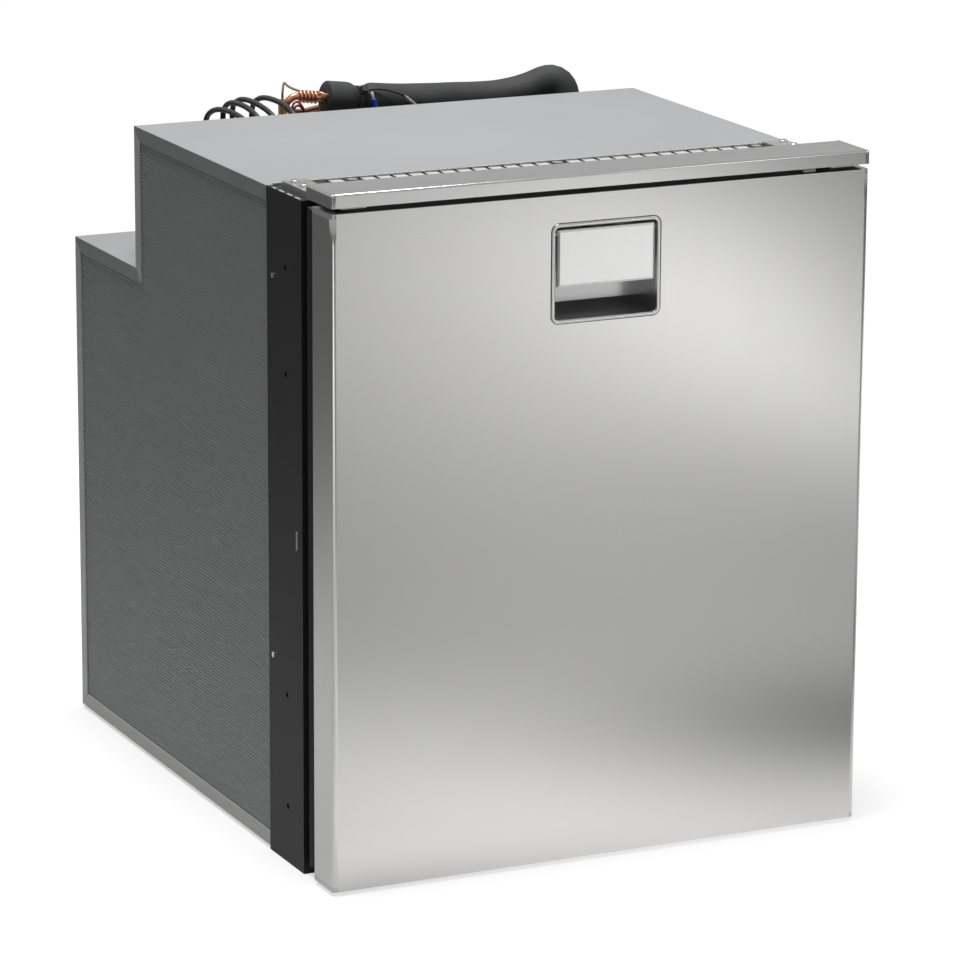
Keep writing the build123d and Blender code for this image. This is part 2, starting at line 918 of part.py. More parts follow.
def make_flap():
    half = handle_width / 2 - bezel_ring - flap_margin
    low = flap_top - flap_height
    face = -bezel_proud * 0.3
    plate = block(-half, half, face, face + flap_thickness, low, flap_top)
    rim = plate.faces().sort_by(Axis.Y)[0].edges()
    plate = chamfer(rim, flap_bevel)
    axis_y = flap_pin_depth
    axis_z = flap_pin_height
    barrel_back = face + flap_thickness
    for x0, x1 in ((-half, barrel_length - half), (-lever_width, lever_width), (half - barrel_length, half)):
        barrel = rod((x0, axis_y, axis_z), (x1, axis_y, axis_z), flap_barrel)
        plate = plate + barrel
    lever = block(
        -lever_width / 2, lever_width / 2, barrel_back - 1, axis_y + lever_reach,
        axis_z - lever_thickness / 2, axis_z + lever_thickness / 2,
    )
    plate = plate + lever
    bore = rod(
        (-half - 1, axis_y, axis_z), (half + 1, axis_y, axis_z), flap_pin_width + 2 * pin_gap
    )
    relief = []
    for x0, x1 in ((barrel_length - half, -lever_width), (lever_width, half - barrel_length)):
        relief.append(rod((x0, axis_y, axis_z), (x1, axis_y, axis_z), spring_room))
    keep("handle_flap", plate - bore - relief[0] - relief[1])
    wall_half = handle_width / 2 - bezel_ring + flap_pin_hold
    pin = rod((-wall_half, axis_y, axis_z), (wall_half, axis_y, axis_z), flap_pin_width)
    keep("flap_pin", pin)
    spring_plane = Plane(
        (lever_width + spring_end, axis_y, axis_z), x_dir=(0, 1, 0), z_dir=(1, 0, 0)
    )
    coil_radius = flap_pin_width / 2 + spring_wire / 2 + spring_clearance
    edges = coil_edges(spring_plane, coil_radius, coil_radius, spring_pitch, spring_turns)
    spring = swept(Wire(edges), spring_wire)
    keep("flap_spring", spring)
    print("flap spring, least gap", round(least_gap(edges, spring_wire, 3 * spring_wire), 2))


def make_latch():
    ledge_top = flap_pin_height - lever_thickness / 2 - seat_gap
    bar = block(
        -bolt_width / 2, bolt_width / 2, handle_bolt_front, handle_bolt_front + bolt_thickness,
        ledge_top - bolt_foot, bolt_top,
    )
    ledge = block(
        -lever_width / 2, lever_width / 2, handle_bolt_front - 2 * bolt_thickness,
        handle_bolt_front, ledge_top - bolt_thickness, ledge_top,
    )
    keep("latch_bolt", bar + ledge)


# Runners, bin and tray

def runner_profile(outer, inner, half_height, open_inward):
    # C section between two distances from the middle plane
    body = block(
        inner, outer, runner_front, runner_front + runner_length,
        runner_middle - half_height, runner_middle + half_height,
    )
    hollow_half = half_height - runner_sheet
    hollow_inner = inner - 1 if open_inward else inner + runner_sheet
    hollow_outer = outer - runner_sheet if open_inward else outer + 1
    hollow = block(
        hollow_inner, hollow_outer, runner_front, runner_front + runner_length,
        runner_middle - hollow_half, runner_middle + hollow_half,
    )
    return body - hollow


def make_runners():
    fixed_half = runner_height / 2
    middle_half = fixed_half - runner_sheet - runner_gap
    drawer_half = middle_half - runner_sheet - runner_gap
    inner_line = half_inside - runner_depth
    fixed = runner_profile(half_inside, inner_line, fixed_half, True)
    middle_outer = half_inside - runner_sheet - runner_gap
    middle = runner_profile(middle_outer, inner_line + runner_gap, middle_half, True)
    moving_outer = middle_outer - runner_sheet - runner_gap
    moving = runner_profile(moving_outer, inner_line, drawer_half, False)
    keep("cabinet_rails", both_sides(fixed))
    keep("drawer_rails", both_sides(moving))
    keep("middle_rail_right", middle)
    keep("middle_rail_left", mirror(middle, Plane.YZ))
    plate_front = front_depth + plug_depth
    plate = block(
        inner_line - side_plate, inner_line, plate_front, runner_front + runner_length,
        side_plate_bottom, side_plate_top,
    )
    foot = block(
        inner_line - side_plate_foot, inner_line, plate_front, plate_front + side_plate,
        side_plate_bottom, side_plate_top,
    )
    keep("side_frames", both_sides(plate + foot))


def open_box(half, y0, y1, z0, z1, thickness):
    outer = block(-half, half, y0, y1, z0, z1)
    inner_half = half - thickness
    return outer - block(
        -inner_half, inner_half, y0 + thickness, y1 - thickness, z0 + thickness, z1 + 1
    )


def make_bin():
    body = open_box(bin_half, bin_front, bin_back, bin_bottom, bin_top, bin_thickness)
    rim_half = bin_half + bin_rim
    rim = block(-rim_half, rim_half, bin_front, bin_back, bin_top - bin_thickness, bin_top)
    inner_half = bin_half - bin_thickness
    rim = rim - block(
        -inner_half, inner_half, bin_front + bin_thickness, bin_back - bin_thickness,
        bin_top - bin_thickness, bin_top,
    )
    body = body + rim
    side_pitch = bin_length / (slot_count + 1)
    front_pitch = 2 * bin_half / (slot_count + 1)
    for i in range(1, slot_count + 1):
        y = bin_front + i * side_pitch
        x = i * front_pitch - bin_half
        body = body - block(
            -bin_half - 1, bin_half + 1, y - slot_width / 2, y + slot_width / 2, *slot_span
        )
        body = body - block(
            x - slot_width / 2, x + slot_width / 2, bin_front - 1, bin_back + 1, *slot_span
        )
    keep("lower_bin", body)


def make_tray():
    low = bin_top + seat_gap
    half = bin_half + bin_rim - tray_side_inset
    back = tray_front + tray_length
    tray = open_box(half, tray_front, back, low, low + tray_height, bin_thickness)
    keep("upper_tray", tray)


# Fittings inside the cabinet

def make_evaporator():
    back = upper_rear - wall
    half = evaporator_width / 2
    plate_back = back - evaporator_gap
    plate_front = plate_back - evaporator_thickness
    top = ceiling_inside - evaporator_drop
    bottom = top - evaporator_height
    plate = block(-half, half, plate_front, plate_back, bottom, top)
    ridge_half = half - channel_inset
    pitch = evaporator_height / (channel_count + 1)
    for i in range(channel_count):
        z = bottom + pitch * (i + 1)
        plate = plate + rod(
            (-ridge_half, plate_front, z), (ridge_half, plate_front, z), channel_width
        )
    side_inset, end_inset = evaporator_clip_inset
    clips = [
        rod((x, plate_back, z), (x, back, z), evaporator_clip_width)
        for x in (side_inset - half, half - side_inset)
        for z in (bottom + end_inset, top - end_inset)
    ]
    keep("evaporator", group([plate] + clips))


def make_inside_fittings():
    left = half_inside - thermostat_width
    low = ceiling_inside - thermostat_height
    front = frame_back + fittings_setback
    housing = block(left, half_inside, front, front + thermostat_length, low, ceiling_inside)
    lower_edges = housing.edges().filter_by(Axis.X).group_by(Axis.Z)[0]
    housing = fillet(lower_edges, thermostat_corner)
    x = (left + half_inside) / 2
    z = low + thermostat_height / 2
    bore = rod(
        (x, front - 1, z), (x, front + knob_shaft_length + 1, z), knob_shaft + 2 * pin_gap
    )
    keep("thermostat_housing", housing - bore)
    knob_back = front - seat_gap
    knob_front = knob_back - knob_depth
    knob = rod((x, knob_front, z), (x, knob_back, z), knob_width)
    grip_half = knob_width / 2 - 1
    grip = block(
        x - knob_grip_width / 2, x + knob_grip_width / 2, knob_front - knob_grip_depth,
        knob_front, z - grip_half, z + grip_half,
    )
    shaft = rod((x, knob_back, z), (x, front + knob_shaft_length, z), knob_shaft)
    keep("thermostat_knob", knob + grip + shaft)
    lens = block(
        -lens_length / 2, lens_length / 2, front, front + lens_width,
        ceiling_inside - lens_height, ceiling_inside,
    )
    keep("lamp_lens", fillet(lens.edges().group_by(Axis.Z)[0], lens_corner))
    plug = rod(
        (0, drain_station, floor_inside), (0, drain_station, floor_inside + drain_flange),
        drain_width,
    )
    stem_width = drain_bore - 2 * pin_gap
    stem = ring(
        (0, drain_station, casing_bottom + casing_sheet), (0, drain_station, floor_inside),
        stem_width, drain_bore - 2 * drain_wall,
    )
    keep("drain_plug", plug + stem)


# Cooling unit

def make_unit_tray():
    floor = block(
        unit_tray_left, unit_tray_right, unit_tray_front, unit_tray_back, step_top, unit_floor
    )
    lip = block(
        unit_tray_left, unit_tray_right, unit_tray_back - unit_tray_sheet, unit_tray_back,
        step_top, step_top + unit_tray_lip,
    )
    keep("unit_tray", floor + lip)


def make_compressor():
    radius = compressor_width / 2
    side = RectangleRounded(compressor_length, compressor_width, compressor_round)
    half_side = side & Pos(0, radius) * Rectangle(2 * compressor_length, compressor_width)
    shell = revolve(Plane.XZ * half_side, Axis.X)
    seam_half = compressor_seam / 2
    seam_width = compressor_width + 2 * seam_proud
    shell = shell + rod((-seam_half, 0, 0), (seam_half, 0, 0), seam_width)
    shell = Pos(compressor_centre, compressor_station, compressor_middle) * shell
    foot_low = unit_floor + mount_height
    for x in saddle_stations:
        half = saddle_width / 2
        reach = mount_offset + mount_width / 2
        foot = block(
            x - half, x + half, compressor_station - reach, compressor_station + reach,
            foot_low, foot_low + foot_sheet,
        )
        web = block(
            x - half, x + half, compressor_station - web_reach, compressor_station + web_reach,
            foot_low, foot_low + web_height,
        )
        shell = shell + foot + web
    cover = block(
        compressor_left - cover_depth, compressor_left + cover_sunk,
        compressor_station - cover_half_width, compressor_station + cover_half_width,
        compressor_middle - cover_drop, compressor_middle + cover_rise,
    )
    shell = shell + cover
    for x, y in (suction_port, discharge_port):
        shell = shell + rod(
            (x, y, compressor_middle), (x, y, port_top), pipe_width + 2 * port_sleeve
        )
    keep("compressor", shell)
    mounts = []
    for x in saddle_stations:
        for y in (compressor_station - mount_offset, compressor_station + mount_offset):
            mounts.append(rod((x, y, unit_floor), (x, y, foot_low), mount_width))
    keep("compressor_mounts", group(mounts))


def make_control_box():
    box = block(
        control_box_left, control_box_right, control_box_front,
        control_box_front + control_box_length, step_top, step_top + control_box_height,
    )
    box = fillet(box.edges().filter_by(Axis.Z), control_box_corner)
    keep("control_box", box)
    gland_x, gland_y, gland_z = box_gland
    gland = ring(
        (gland_x, gland_y, gland_z), (gland_x, gland_y + gland_length, gland_z),
        cable_width + 2 * gland_wall, cable_width + 2 * pin_gap,
    )
    outlet_x, outlet_z = cable_outlet
    grommet = ring(
        (outlet_x, upper_rear, outlet_z), (outlet_x, upper_rear + grommet_depth, outlet_z),
        cable_width + 2 * (rib_gap + grommet_wall), cable_width + 2 * rib_gap,
    )
    pipe_x, pipe_z = suction_outlet
    collar = ring(
        (pipe_x, upper_rear, pipe_z), (pipe_x, upper_rear + grommet_depth, pipe_z),
        sleeve_width + 2 * (rib_gap + collar_wall), sleeve_width + 2 * rib_gap,
    )
    keep("rear_grommets", group([gland, grommet, collar]))


def coil_points():
    # Liquid line from the drier's foot round the front of the compressor, then the passes
    x, y = drier_place
    points = [
        (x, y, drier_foot), (x, y, coil_low), (x, liquid_line_station, coil_low),
        (coil_left - coil_entry, liquid_line_station, coil_low),
        (coil_left - coil_entry, condenser_station, coil_low),
    ]
    for i in range(coil_passes):
        z = coil_low + i * coil_pitch
        turn = coil_right if i % 2 == 0 else coil_left
        if i < coil_passes - 1:
            points.append((turn, condenser_station, z))
            points.append((turn, condenser_station, z + coil_pitch))
    points.append(coil_end)
    return points


def make_condenser():
    path = FilletPolyline(*coil_points(), radius=coil_bend)
    coil = swept(path, pipe_width)
    port = (discharge_port[0], discharge_port[1], port_top)
    points = [
        port, (port[0], port[1], port[2] + 14), (coil_end[0] - 10, coil_end[1] - 3, port[2] + 12),
        (coil_end[0] - 9.5,) + coil_end[1:], coil_end,
    ]
    discharge = swept(bent_path(points, 0.42), pipe_width)
    keep("condenser_coil", group([coil, discharge]))
    y = condenser_station
    left = condenser_left + fin_inset
    right = condenser_left + condenser_length - fin_inset
    pitch = (right - left) / (fin_count - 1)
    low = unit_floor
    bores = group([
        rod(
            (left - 1, y, coil_low + i * coil_pitch), (right + 2, y, coil_low + i * coil_pitch),
            pipe_width + 2 * pin_gap,
        )
        for i in range(coil_passes)
    ])
    fins = [
        block(
            left + i * pitch, left + i * pitch + fin_sheet, y - fin_width / 2, y + fin_width / 2,
            low, low + fin_height,
        ) - bores
        for i in range(fin_count)
    ]
    keep("condenser_fins", group(fins))


def make_fan():
    low = unit_floor
    half = fan_size / 2
    middle = low + half
    back = fan_front + fan_depth
    frame = block(fan_centre - half, fan_centre + half, fan_front, back, low, low + fan_size)
    bore = rod((fan_centre, fan_front - 1, middle), (fan_centre, back + 1, middle), fan_bore)
    hub_front = back - fan_hub_depth
    hub = rod((fan_centre, hub_front, middle), (fan_centre, back, middle), fan_hub)
    for i in range(3):
        arm = block(
            0, fan_bore / 2 + fan_arm_sunk, hub_front + fan_arm_setback, back,
            -fan_arm_width / 2, fan_arm_width / 2,
        )
        hub = hub + Pos(fan_centre, 0, middle) * Rot(0, 120 * i, 0) * arm
    shaft_front = fan_front + fan_shaft_setback
    shaft = rod((fan_centre, shaft_front, middle), (fan_centre, back, middle), fan_shaft)
    keep("fan_frame", frame - bore + hub + shaft)
    rotor_back = hub_front - seat_gap
    rotor_front = fan_front + fan_rotor_setback
    rotor = rod(
        (fan_centre, rotor_front, middle), (fan_centre, rotor_back, middle), fan_hub
    )
    root = fan_hub / 2 - blade_sunk
    blade_length = fan_bore / 2 - fan_tip_gap - root
    blade = Box(
        blade_length, blade_sheet, blade_chord, align=(Align.MIN, Align.CENTER, Align.CENTER)
    )
    for i in range(fan_blades):
        turned = Rot(0, 360 / fan_blades * i, 0) * Pos(root, 0, 0) * Rot(blade_angle, 0, 0) * blade
        rotor = rotor + Pos(fan_centre, (rotor_front + rotor_back) / 2, middle) * turned
    shaft_bore = rod(
        (fan_centre, shaft_front - 1, middle), (fan_centre, rotor_back + 1, middle),
        fan_shaft + 2 * pin_gap,
    )
    limit = rod(
        (fan_centre, rotor_front, middle), (fan_centre, rotor_back, middle),
        fan_bore - 2 * fan_tip_gap,
    )
    keep("fan_rotor", (rotor & limit) - shaft_bore)


def make_drier():
    x, y = drier_place
    body_top = drier_neck_base - drier_shoulder
    body = rod((x, y, drier_foot), (x, y, body_top), drier_width)
    body = fillet(body.edges().filter_by(GeomType.CIRCLE), drier_corner)
    neck = rod((x, y, body_top - 2), (x, y, drier_neck_top), drier_neck_width)
    shoulder = Pos(x, y, body_top + drier_shoulder / 2) * Cone(
        drier_width / 2 - 2, drier_neck_width / 2, drier_shoulder
    )
    keep("filter_drier", body + shoulder + neck)


# Pipes over the rear edge: one route for the suction pipe, foam over its first stretch

suction_route = [
    (suction_outlet[0], upper_rear, suction_outlet[1]),
    on_step(171.0, 33.0, 56.0),
    on_step(176.5, 40.0, 123.0),
    on_step(138.0, 51.0, 104.0),
    on_step(80.0, 53.0, 105.0),
    on_step(24.0, 51.5, 107.5),
    on_step(-62.5, 48.0, 118.5),
    on_step(-69.5, 49.0, 113.0),
    on_step(-67.5, 51.0, 105.0),
    on_step(-50.0, 59.0, 102.5),
    (suction_port[0], suction_port[1], step_top + 105.0),
    (suction_port[0], suction_port[1], port_top),
]
suction_bends = [18.0, 15.5, 50.0, 200.0, 200.0, 6.5, 5.5, 6.0, 30.0, 9.0]
covered_corners = 5


def along_pipe(distance):
    # Place on the straight stretch that carries the tie and the capillary's turns
    start = Vector(*suction_route[covered_corners])
    end = Vector(*suction_route[covered_corners + 1])
    place = start + (end - start).normalized() * distance
    return (place.X, place.Y, place.Z)


def waisted_end(inner, outer):
    # Foam that narrows from its full width at inner to the tie's width at outer
    way = Vector(*outer) - Vector(*inner)
    return loft([
        Plane(Vector(*inner), z_dir=way) * Circle(sleeve_width / 2),
        Plane(Vector(*outer), z_dir=way) * Circle(waist_width / 2),
    ])


def tie_side(way):
    # Square to the pipe, up and towards the front
    return way.cross(Vector(0, -0.7, 0.7).cross(way))


def make_suction_pipe():
    pipe = FilletPolyline(*suction_route, radius=suction_bends)
    keep("suction_pipe", swept(pipe, pipe_width))
    tie_in = along_pipe(tie_distance - tie_width / 2)
    tie_out = along_pipe(tie_distance + tie_width / 2)
    waist_start = along_pipe(tie_distance - tie_width / 2 - waist_length)
    short_start = along_pipe(tie_distance + tie_width / 2 + waist_length)
    sleeve_end = along_pipe(sleeve_distance)
    covered = suction_route[:covered_corners + 1] + [waist_start]
    path = FilletPolyline(*covered, radius=suction_bends[:covered_corners])
    section = Plane(path @ 0, z_dir=path % 0)
    foam = sweep(section * Circle(sleeve_width / 2), path) + waisted_end(waist_start, tie_in)
    bore = sweep(section * Circle(sleeve_bore / 2), path) + rod(waist_start, tie_in, sleeve_bore)
    keep("foam_sleeve_long", foam - bore)
    short = rod(short_start, sleeve_end, sleeve_width) + waisted_end(short_start, tie_out)
    short = short + rod(tie_in, tie_out, waist_width) - rod(tie_in, sleeve_end, sleeve_bore)
    keep("foam_sleeve_short", short)
    band = ring(tie_in, tie_out, waist_width + 2 * tie_thickness, waist_width)
    way = Vector(*tie_out) - Vector(*tie_in)
    frame = Plane(along_pipe(tie_distance), x_dir=way, z_dir=tie_side(way))
    head_low = waist_width / 2 + tie_thickness / 2
    head = frame * Pos(0, 0, head_low + tie_head / 2) * Box(tie_head, tie_head, tie_head)
    head_middle = frame.from_local_coords(Vector(0, 0, head_low + tie_head / 2))
    tail_route = [
        (head_middle.X, head_middle.Y, head_middle.Z),
        (head_middle.X + 14, head_middle.Y - 4, head_middle.Z + 1),
        (head_middle.X + 32, head_middle.Y - 7, head_middle.Z - 5),
        (head_middle.X + 43, head_middle.Y - 6, head_middle.Z - 14),
    ]
    tail = swept(bent_path(tail_route), tie_tail)
    keep("cable_tie", band + head + tail)


def make_capillary():
    way = (Vector(*along_pipe(1)) - Vector(*along_pipe(0))).normalized()
    radius = pipe_width / 2 + capillary_width / 2 + seat_gap
    begin = Vector(*along_pipe(capillary_distance))
    plane = Plane(begin, x_dir=(0, 1, 0), z_dir=way)
    edges = coil_edges(plane, radius, radius, capillary_pitch, capillary_turns)
    first, first_way = coil_station(plane, radius, radius, capillary_pitch, 0)
    last, last_way = coil_station(
        plane, radius, radius, capillary_pitch, 4 * capillary_turns
    )
    back_off = capillary_distance - sleeve_distance - seat_gap
    lead_start = plane.from_local_coords(Vector(-1.3 * radius, -0.75 * radius, -back_off))
    lead = biarc(lead_start, way, first, first_way)
    tail = biarc(last, last_way, Vector(*drier_place, drier_neck_top), Vector(0, 0, -1))
    keep("capillary_tube", swept(Wire(lead + edges + tail), capillary_width))
    gap = least_gap(edges, capillary_width, 4 * capillary_width)
    print("capillary coil, least gap", round(gap, 2))


# Wires and the coiled cable

def make_wires():
    start = compressor_left - cover_depth - seat_gap
    end = control_box_right
    base = [
        on_step(start, 75.0, 52.0), on_step(start - 9.7, 73.0, 54.0),
        on_step(-50.0, 49.0, 78.0), on_step(-53.0, 40.0, 100.0), on_step(-62.0, 39.0, 116.0),
        on_step(-69.5, 38.0, 110.0), on_step(-66.0, 37.0, 80.0), on_step(-65.0, 32.0, 47.0),
        on_step(-104.0, 28.0, 42.0), on_step(end + 12.0, 27.0, 41.0), on_step(end, 27.0, 41.0),
    ]
    wires = []
    for way in (-1, 1):
        shift = way * (wire_width / 2 + seat_gap)
        route = [(x, y + shift, z + shift) for x, y, z in base]
        wires.append(swept(bent_path(route), wire_width))
    foot = Vector(*on_step(9.0, 34.0, 99.0))
    way = Vector(-0.1, 0.05, 1.0).normalized()
    joint = foot + way * terminal_length
    crimp = rod(tuple(foot), tuple(joint), terminal_width)
    tip = rod(tuple(joint), tuple(joint + way * terminal_tip), terminal_width * 0.6)
    keep("signal_wires", group(wires + [crimp + tip]))


def make_cable():
    plane = Plane(
        (hank_right, hank_station, hank_height), x_dir=(0, 1, 0), z_dir=(1, 0, 0)
    )
    shape = (plane, hank_half_length, hank_half_height, -hank_pitch)
    edges = coil_edges(*shape, hank_turns)
    keep("cable_hank", swept(Wire(edges), cable_width))
    length = sum(edge.length for edge in edges)
    gap = least_gap(edges, cable_width, 4 * cable_width)
    print("cable hank: length", round(length), "least gap", round(gap, 2))
    start, start_way = coil_station(*shape, 0)
    end, end_way = coil_station(*shape, 4 * hank_turns)
    outlet = Vector(cable_outlet[0], upper_rear, cable_outlet[1])
    lead = Wire(biarc(outlet, Vector(0, 1, 0), start, start_way))
    gland = Vector(box_gland[0], box_gland[1] + gland_length, box_gland[2])
    corner = Vector(*on_step(-150.0, 87.0, 46.0))
    corner_way = Vector(-0.75, 0.0, -0.66).normalized()
    run = Wire(
        biarc(end, end_way, corner, corner_way)
        + biarc(corner, corner_way, gland, Vector(0, -1, 0))
    )
    keep("cable_leads", group([swept(lead, cable_width), swept(run, cable_width)]))
    print("cable leads", round(lead.length), round(run.length))


make_casing()
make_frame()
make_insulation()
make_frame_details()
make_top_joint()
make_trim()
make_brackets()
make_front_shell()
make_gasket()
make_handle_shell()
make_flap()
make_latch()
make_runners()
make_bin()
make_tray()
make_evaporator()
make_inside_fittings()
make_unit_tray()
make_compressor()
make_control_box()
make_condenser()
make_fan()
make_drier()
make_suction_pipe()
make_capillary()
make_wires()
make_cable()

os.makedirs("parts", exist_ok=True)
for name, shape in nodes.items():
    export_step(Pos(0, model_shift, 0) * shape, f"parts/{name}.step")
print(len(nodes), "nodes")
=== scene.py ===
import json
import math

import bmesh
import bpy
from mathutils import Matrix, Vector, noise


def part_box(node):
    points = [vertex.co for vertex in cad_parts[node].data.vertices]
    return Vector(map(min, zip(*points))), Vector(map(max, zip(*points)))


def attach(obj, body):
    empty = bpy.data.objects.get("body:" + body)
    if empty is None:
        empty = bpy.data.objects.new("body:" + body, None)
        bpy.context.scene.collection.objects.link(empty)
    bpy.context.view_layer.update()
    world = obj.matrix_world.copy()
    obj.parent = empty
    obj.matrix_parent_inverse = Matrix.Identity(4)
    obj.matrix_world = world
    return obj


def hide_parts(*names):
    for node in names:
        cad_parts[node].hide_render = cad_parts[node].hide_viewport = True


# Drawer fridge in its studio. Metres, X to the right, Y to the back, Z up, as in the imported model.
# Sizes are millimetres times MM. The points of routes and the turns of the cable are plain
# millimetres, which place() and on_step() bring to metres.

MM = 0.001
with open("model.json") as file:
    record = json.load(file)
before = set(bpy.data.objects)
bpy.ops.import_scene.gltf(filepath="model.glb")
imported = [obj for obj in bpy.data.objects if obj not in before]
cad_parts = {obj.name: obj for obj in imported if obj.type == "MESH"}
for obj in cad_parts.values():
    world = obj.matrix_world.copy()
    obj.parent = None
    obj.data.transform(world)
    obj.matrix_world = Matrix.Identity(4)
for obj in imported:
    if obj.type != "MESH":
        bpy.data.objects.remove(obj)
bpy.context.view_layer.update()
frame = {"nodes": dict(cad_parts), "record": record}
nodes = frame["nodes"]

# Places that the route's points and the pieces share, as in the part's source
model_shift = -263.0
upper_rear = 391.0
step_top = 400.0
# Places nearer than the first count as one, and points nearer than the second are merged
near = 0.1 * MM
merge_distance = 0.01 * MM


def place(x, y, z):
    # The drawing's Y counts from the face of the drawer front, the model's from its middle
    return Vector((x * MM, (y + model_shift) * MM, z * MM))


def on_step(x, back, up):
    # A point by how far it stands back from the upper rear panel and up from the step's top
    return place(x, upper_rear + back, step_top + up)


def corners(node):
    low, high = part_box(node)
    return Vector(low), Vector(high)


# Node groups that the finishes share

# How fine each pattern is, and how it is drawn out along X, Y and Z
streak_scale = 900.0
long_streak_scale = 260.0
long_streak_share = 0.4
ripple_scale = 900.0
coat_cloud_scale = 9.0
foam_cell_scale = 700.0
foam_cloud_scale = 30.0
dust_patch_scale = 40.0
fine_detail = 2.0
cloud_detail = 3.0
patch_detail = 4.0
evenly = (1.0, 1.0, 1.0)
streaks_up = ((1.0, 1.0, 0.02), (1.0, 1.0, 0.004))
streaks_across = ((0.02, 1.0, 1.0), (0.004, 1.0, 1.0))


def new_group(name, inputs, outputs):
    group = bpy.data.node_groups.new(name, "ShaderNodeTree")
    for label, default in inputs:
        socket = group.interface.new_socket(label, in_out="INPUT", socket_type="NodeSocketFloat")
        socket.default_value = default
    for label, kind in outputs:
        group.interface.new_socket(label, in_out="OUTPUT", socket_type=kind)
    entry = group.nodes.new("NodeGroupInput")
    leave = group.nodes.new("NodeGroupOutput")
    return group, entry, leave


def stretched_noise(group, scale, stretch, detail, scale_input=None):
    # Soft noise in the piece's own coordinates; an input of the group can rule its scale
    coordinates = group.nodes.new("ShaderNodeTexCoord")
    mapping = group.nodes.new("ShaderNodeMapping")
    mapping.inputs["Scale"].default_value = stretch
    texture = group.nodes.new("ShaderNodeTexNoise")
    texture.inputs["Detail"].default_value = detail
    texture.inputs["Scale"].default_value = scale
    group.links.new(coordinates.outputs["Object"], mapping.inputs["Vector"])
    group.links.new(mapping.outputs["Vector"], texture.inputs["Vector"])
    if scale_input:
        group.links.new(scale_input, texture.inputs["Scale"])
    return texture


def make_brushing_group(name, short_streak, long_streak):
    # Fine brushing: short streaks over long faint ones, both drawn out along one axis
    group, entry, leave = new_group(
        name, [("Fineness", streak_scale)], [("Streaks", "NodeSocketFloat")]
    )
    fine = stretched_noise(
        group, streak_scale, short_streak, fine_detail, entry.outputs["Fineness"]
    )
    long = stretched_noise(group, long_streak_scale, long_streak, fine_detail)
    blend = group.nodes.new("ShaderNodeMix")
    blend.inputs["Factor"].default_value = long_streak_share
    group.links.new(fine.outputs["Fac"], blend.inputs[2])
    group.links.new(long.outputs["Fac"], blend.inputs[3])
    group.links.new(blend.outputs[0], leave.inputs["Streaks"])
    return group


def make_paint_group():
    # Sprayed or rolled coat: faint cloud of tone and the fine ripple of its surface
    group, entry, leave = new_group(
        "sprayed_coat", [("Ripple Scale", ripple_scale), ("Cloud Scale", coat_cloud_scale)],
        [("Cloud", "NodeSocketFloat"), ("Ripple", "NodeSocketFloat")],
    )
    ripple = stretched_noise(
        group, ripple_scale, evenly, fine_detail, entry.outputs["Ripple Scale"]
    )
    cloud = stretched_noise(
        group, coat_cloud_scale, evenly, cloud_detail, entry.outputs["Cloud Scale"]
    )
    group.links.new(ripple.outputs["Fac"], leave.inputs["Ripple"])
    group.links.new(cloud.outputs["Fac"], leave.inputs["Cloud"])
    return group


def make_cell_group():
    # Closed-cell foam and moulded grain: small cells with soft walls
    group, entry, leave = new_group(
        "foam_cells", [("Cell Scale", foam_cell_scale)],
        [("Cells", "NodeSocketFloat"), ("Cloud", "NodeSocketFloat")],
    )
    coordinates = group.nodes.new("ShaderNodeTexCoord")
    cells = group.nodes.new("ShaderNodeTexVoronoi")
    cells.feature = "SMOOTH_F1"
    group.links.new(coordinates.outputs["Object"], cells.inputs["Vector"])
    group.links.new(entry.outputs["Cell Scale"], cells.inputs["Scale"])
    cloud = stretched_noise(group, foam_cloud_scale, evenly, cloud_detail)
    group.links.new(cells.outputs["Distance"], leave.inputs["Cells"])
    group.links.new(cloud.outputs["Fac"], leave.inputs["Cloud"])
    return group


def make_dust_group():
    # Thin dust that settles on faces that look up
    group, entry, leave = new_group(
        "settled_dust", [("Amount", 0.1)], [("Dust", "NodeSocketFloat")],
    )
    geometry = group.nodes.new("ShaderNodeNewGeometry")
    split = group.nodes.new("ShaderNodeSeparateXYZ")
    group.links.new(geometry.outputs["Normal"], split.inputs["Vector"])
    patches = stretched_noise(group, dust_patch_scale, evenly, patch_detail)
    facing = group.nodes.new("ShaderNodeMath")
    facing.operation = "MULTIPLY"
    facing.use_clamp = True
    group.links.new(split.outputs["Z"], facing.inputs[0])
    group.links.new(patches.outputs["Fac"], facing.inputs[1])
    amount = group.nodes.new("ShaderNodeMath")
    amount.operation = "MULTIPLY"
    group.links.new(facing.outputs[0], amount.inputs[0])
    group.links.new(entry.outputs["Amount"], amount.inputs[1])
    group.links.new(amount.outputs[0], leave.inputs["Dust"])
    return group


upright_brushing = make_brushing_group("upright_brushing", *streaks_up)
lengthwise_brushing = make_brushing_group("lengthwise_brushing", *streaks_across)
paint_group = make_paint_group()
cell_group = make_cell_group()
dust_group = make_dust_group()


# Building blocks of a finish

dust_tone = (0.55, 0.54, 0.52)
# How far the roughness strays to either side, and how deep the relief is
streak_stray = 0.015
streak_relief = 0.0002
coat_stray = 0.04
coat_relief = 0.0003
cell_stray = 0.06
cell_relief = 0.0005


def new_material(name, roughness, metallic=0.0):
    material = bpy.data.materials.new(name)
    material.use_nodes = True
    shader = material.node_tree.nodes["Principled BSDF"]
    shader.inputs["Roughness"].default_value = roughness
    shader.inputs["Metallic"].default_value = metallic
    return material, material.node_tree, shader


def add_group(tree, group, **values):
    node = tree.nodes.new("ShaderNodeGroup")
    node.node_tree = group
    for label, value in values.items():
        node.inputs[label.replace("_", " ")].default_value = value
    return node


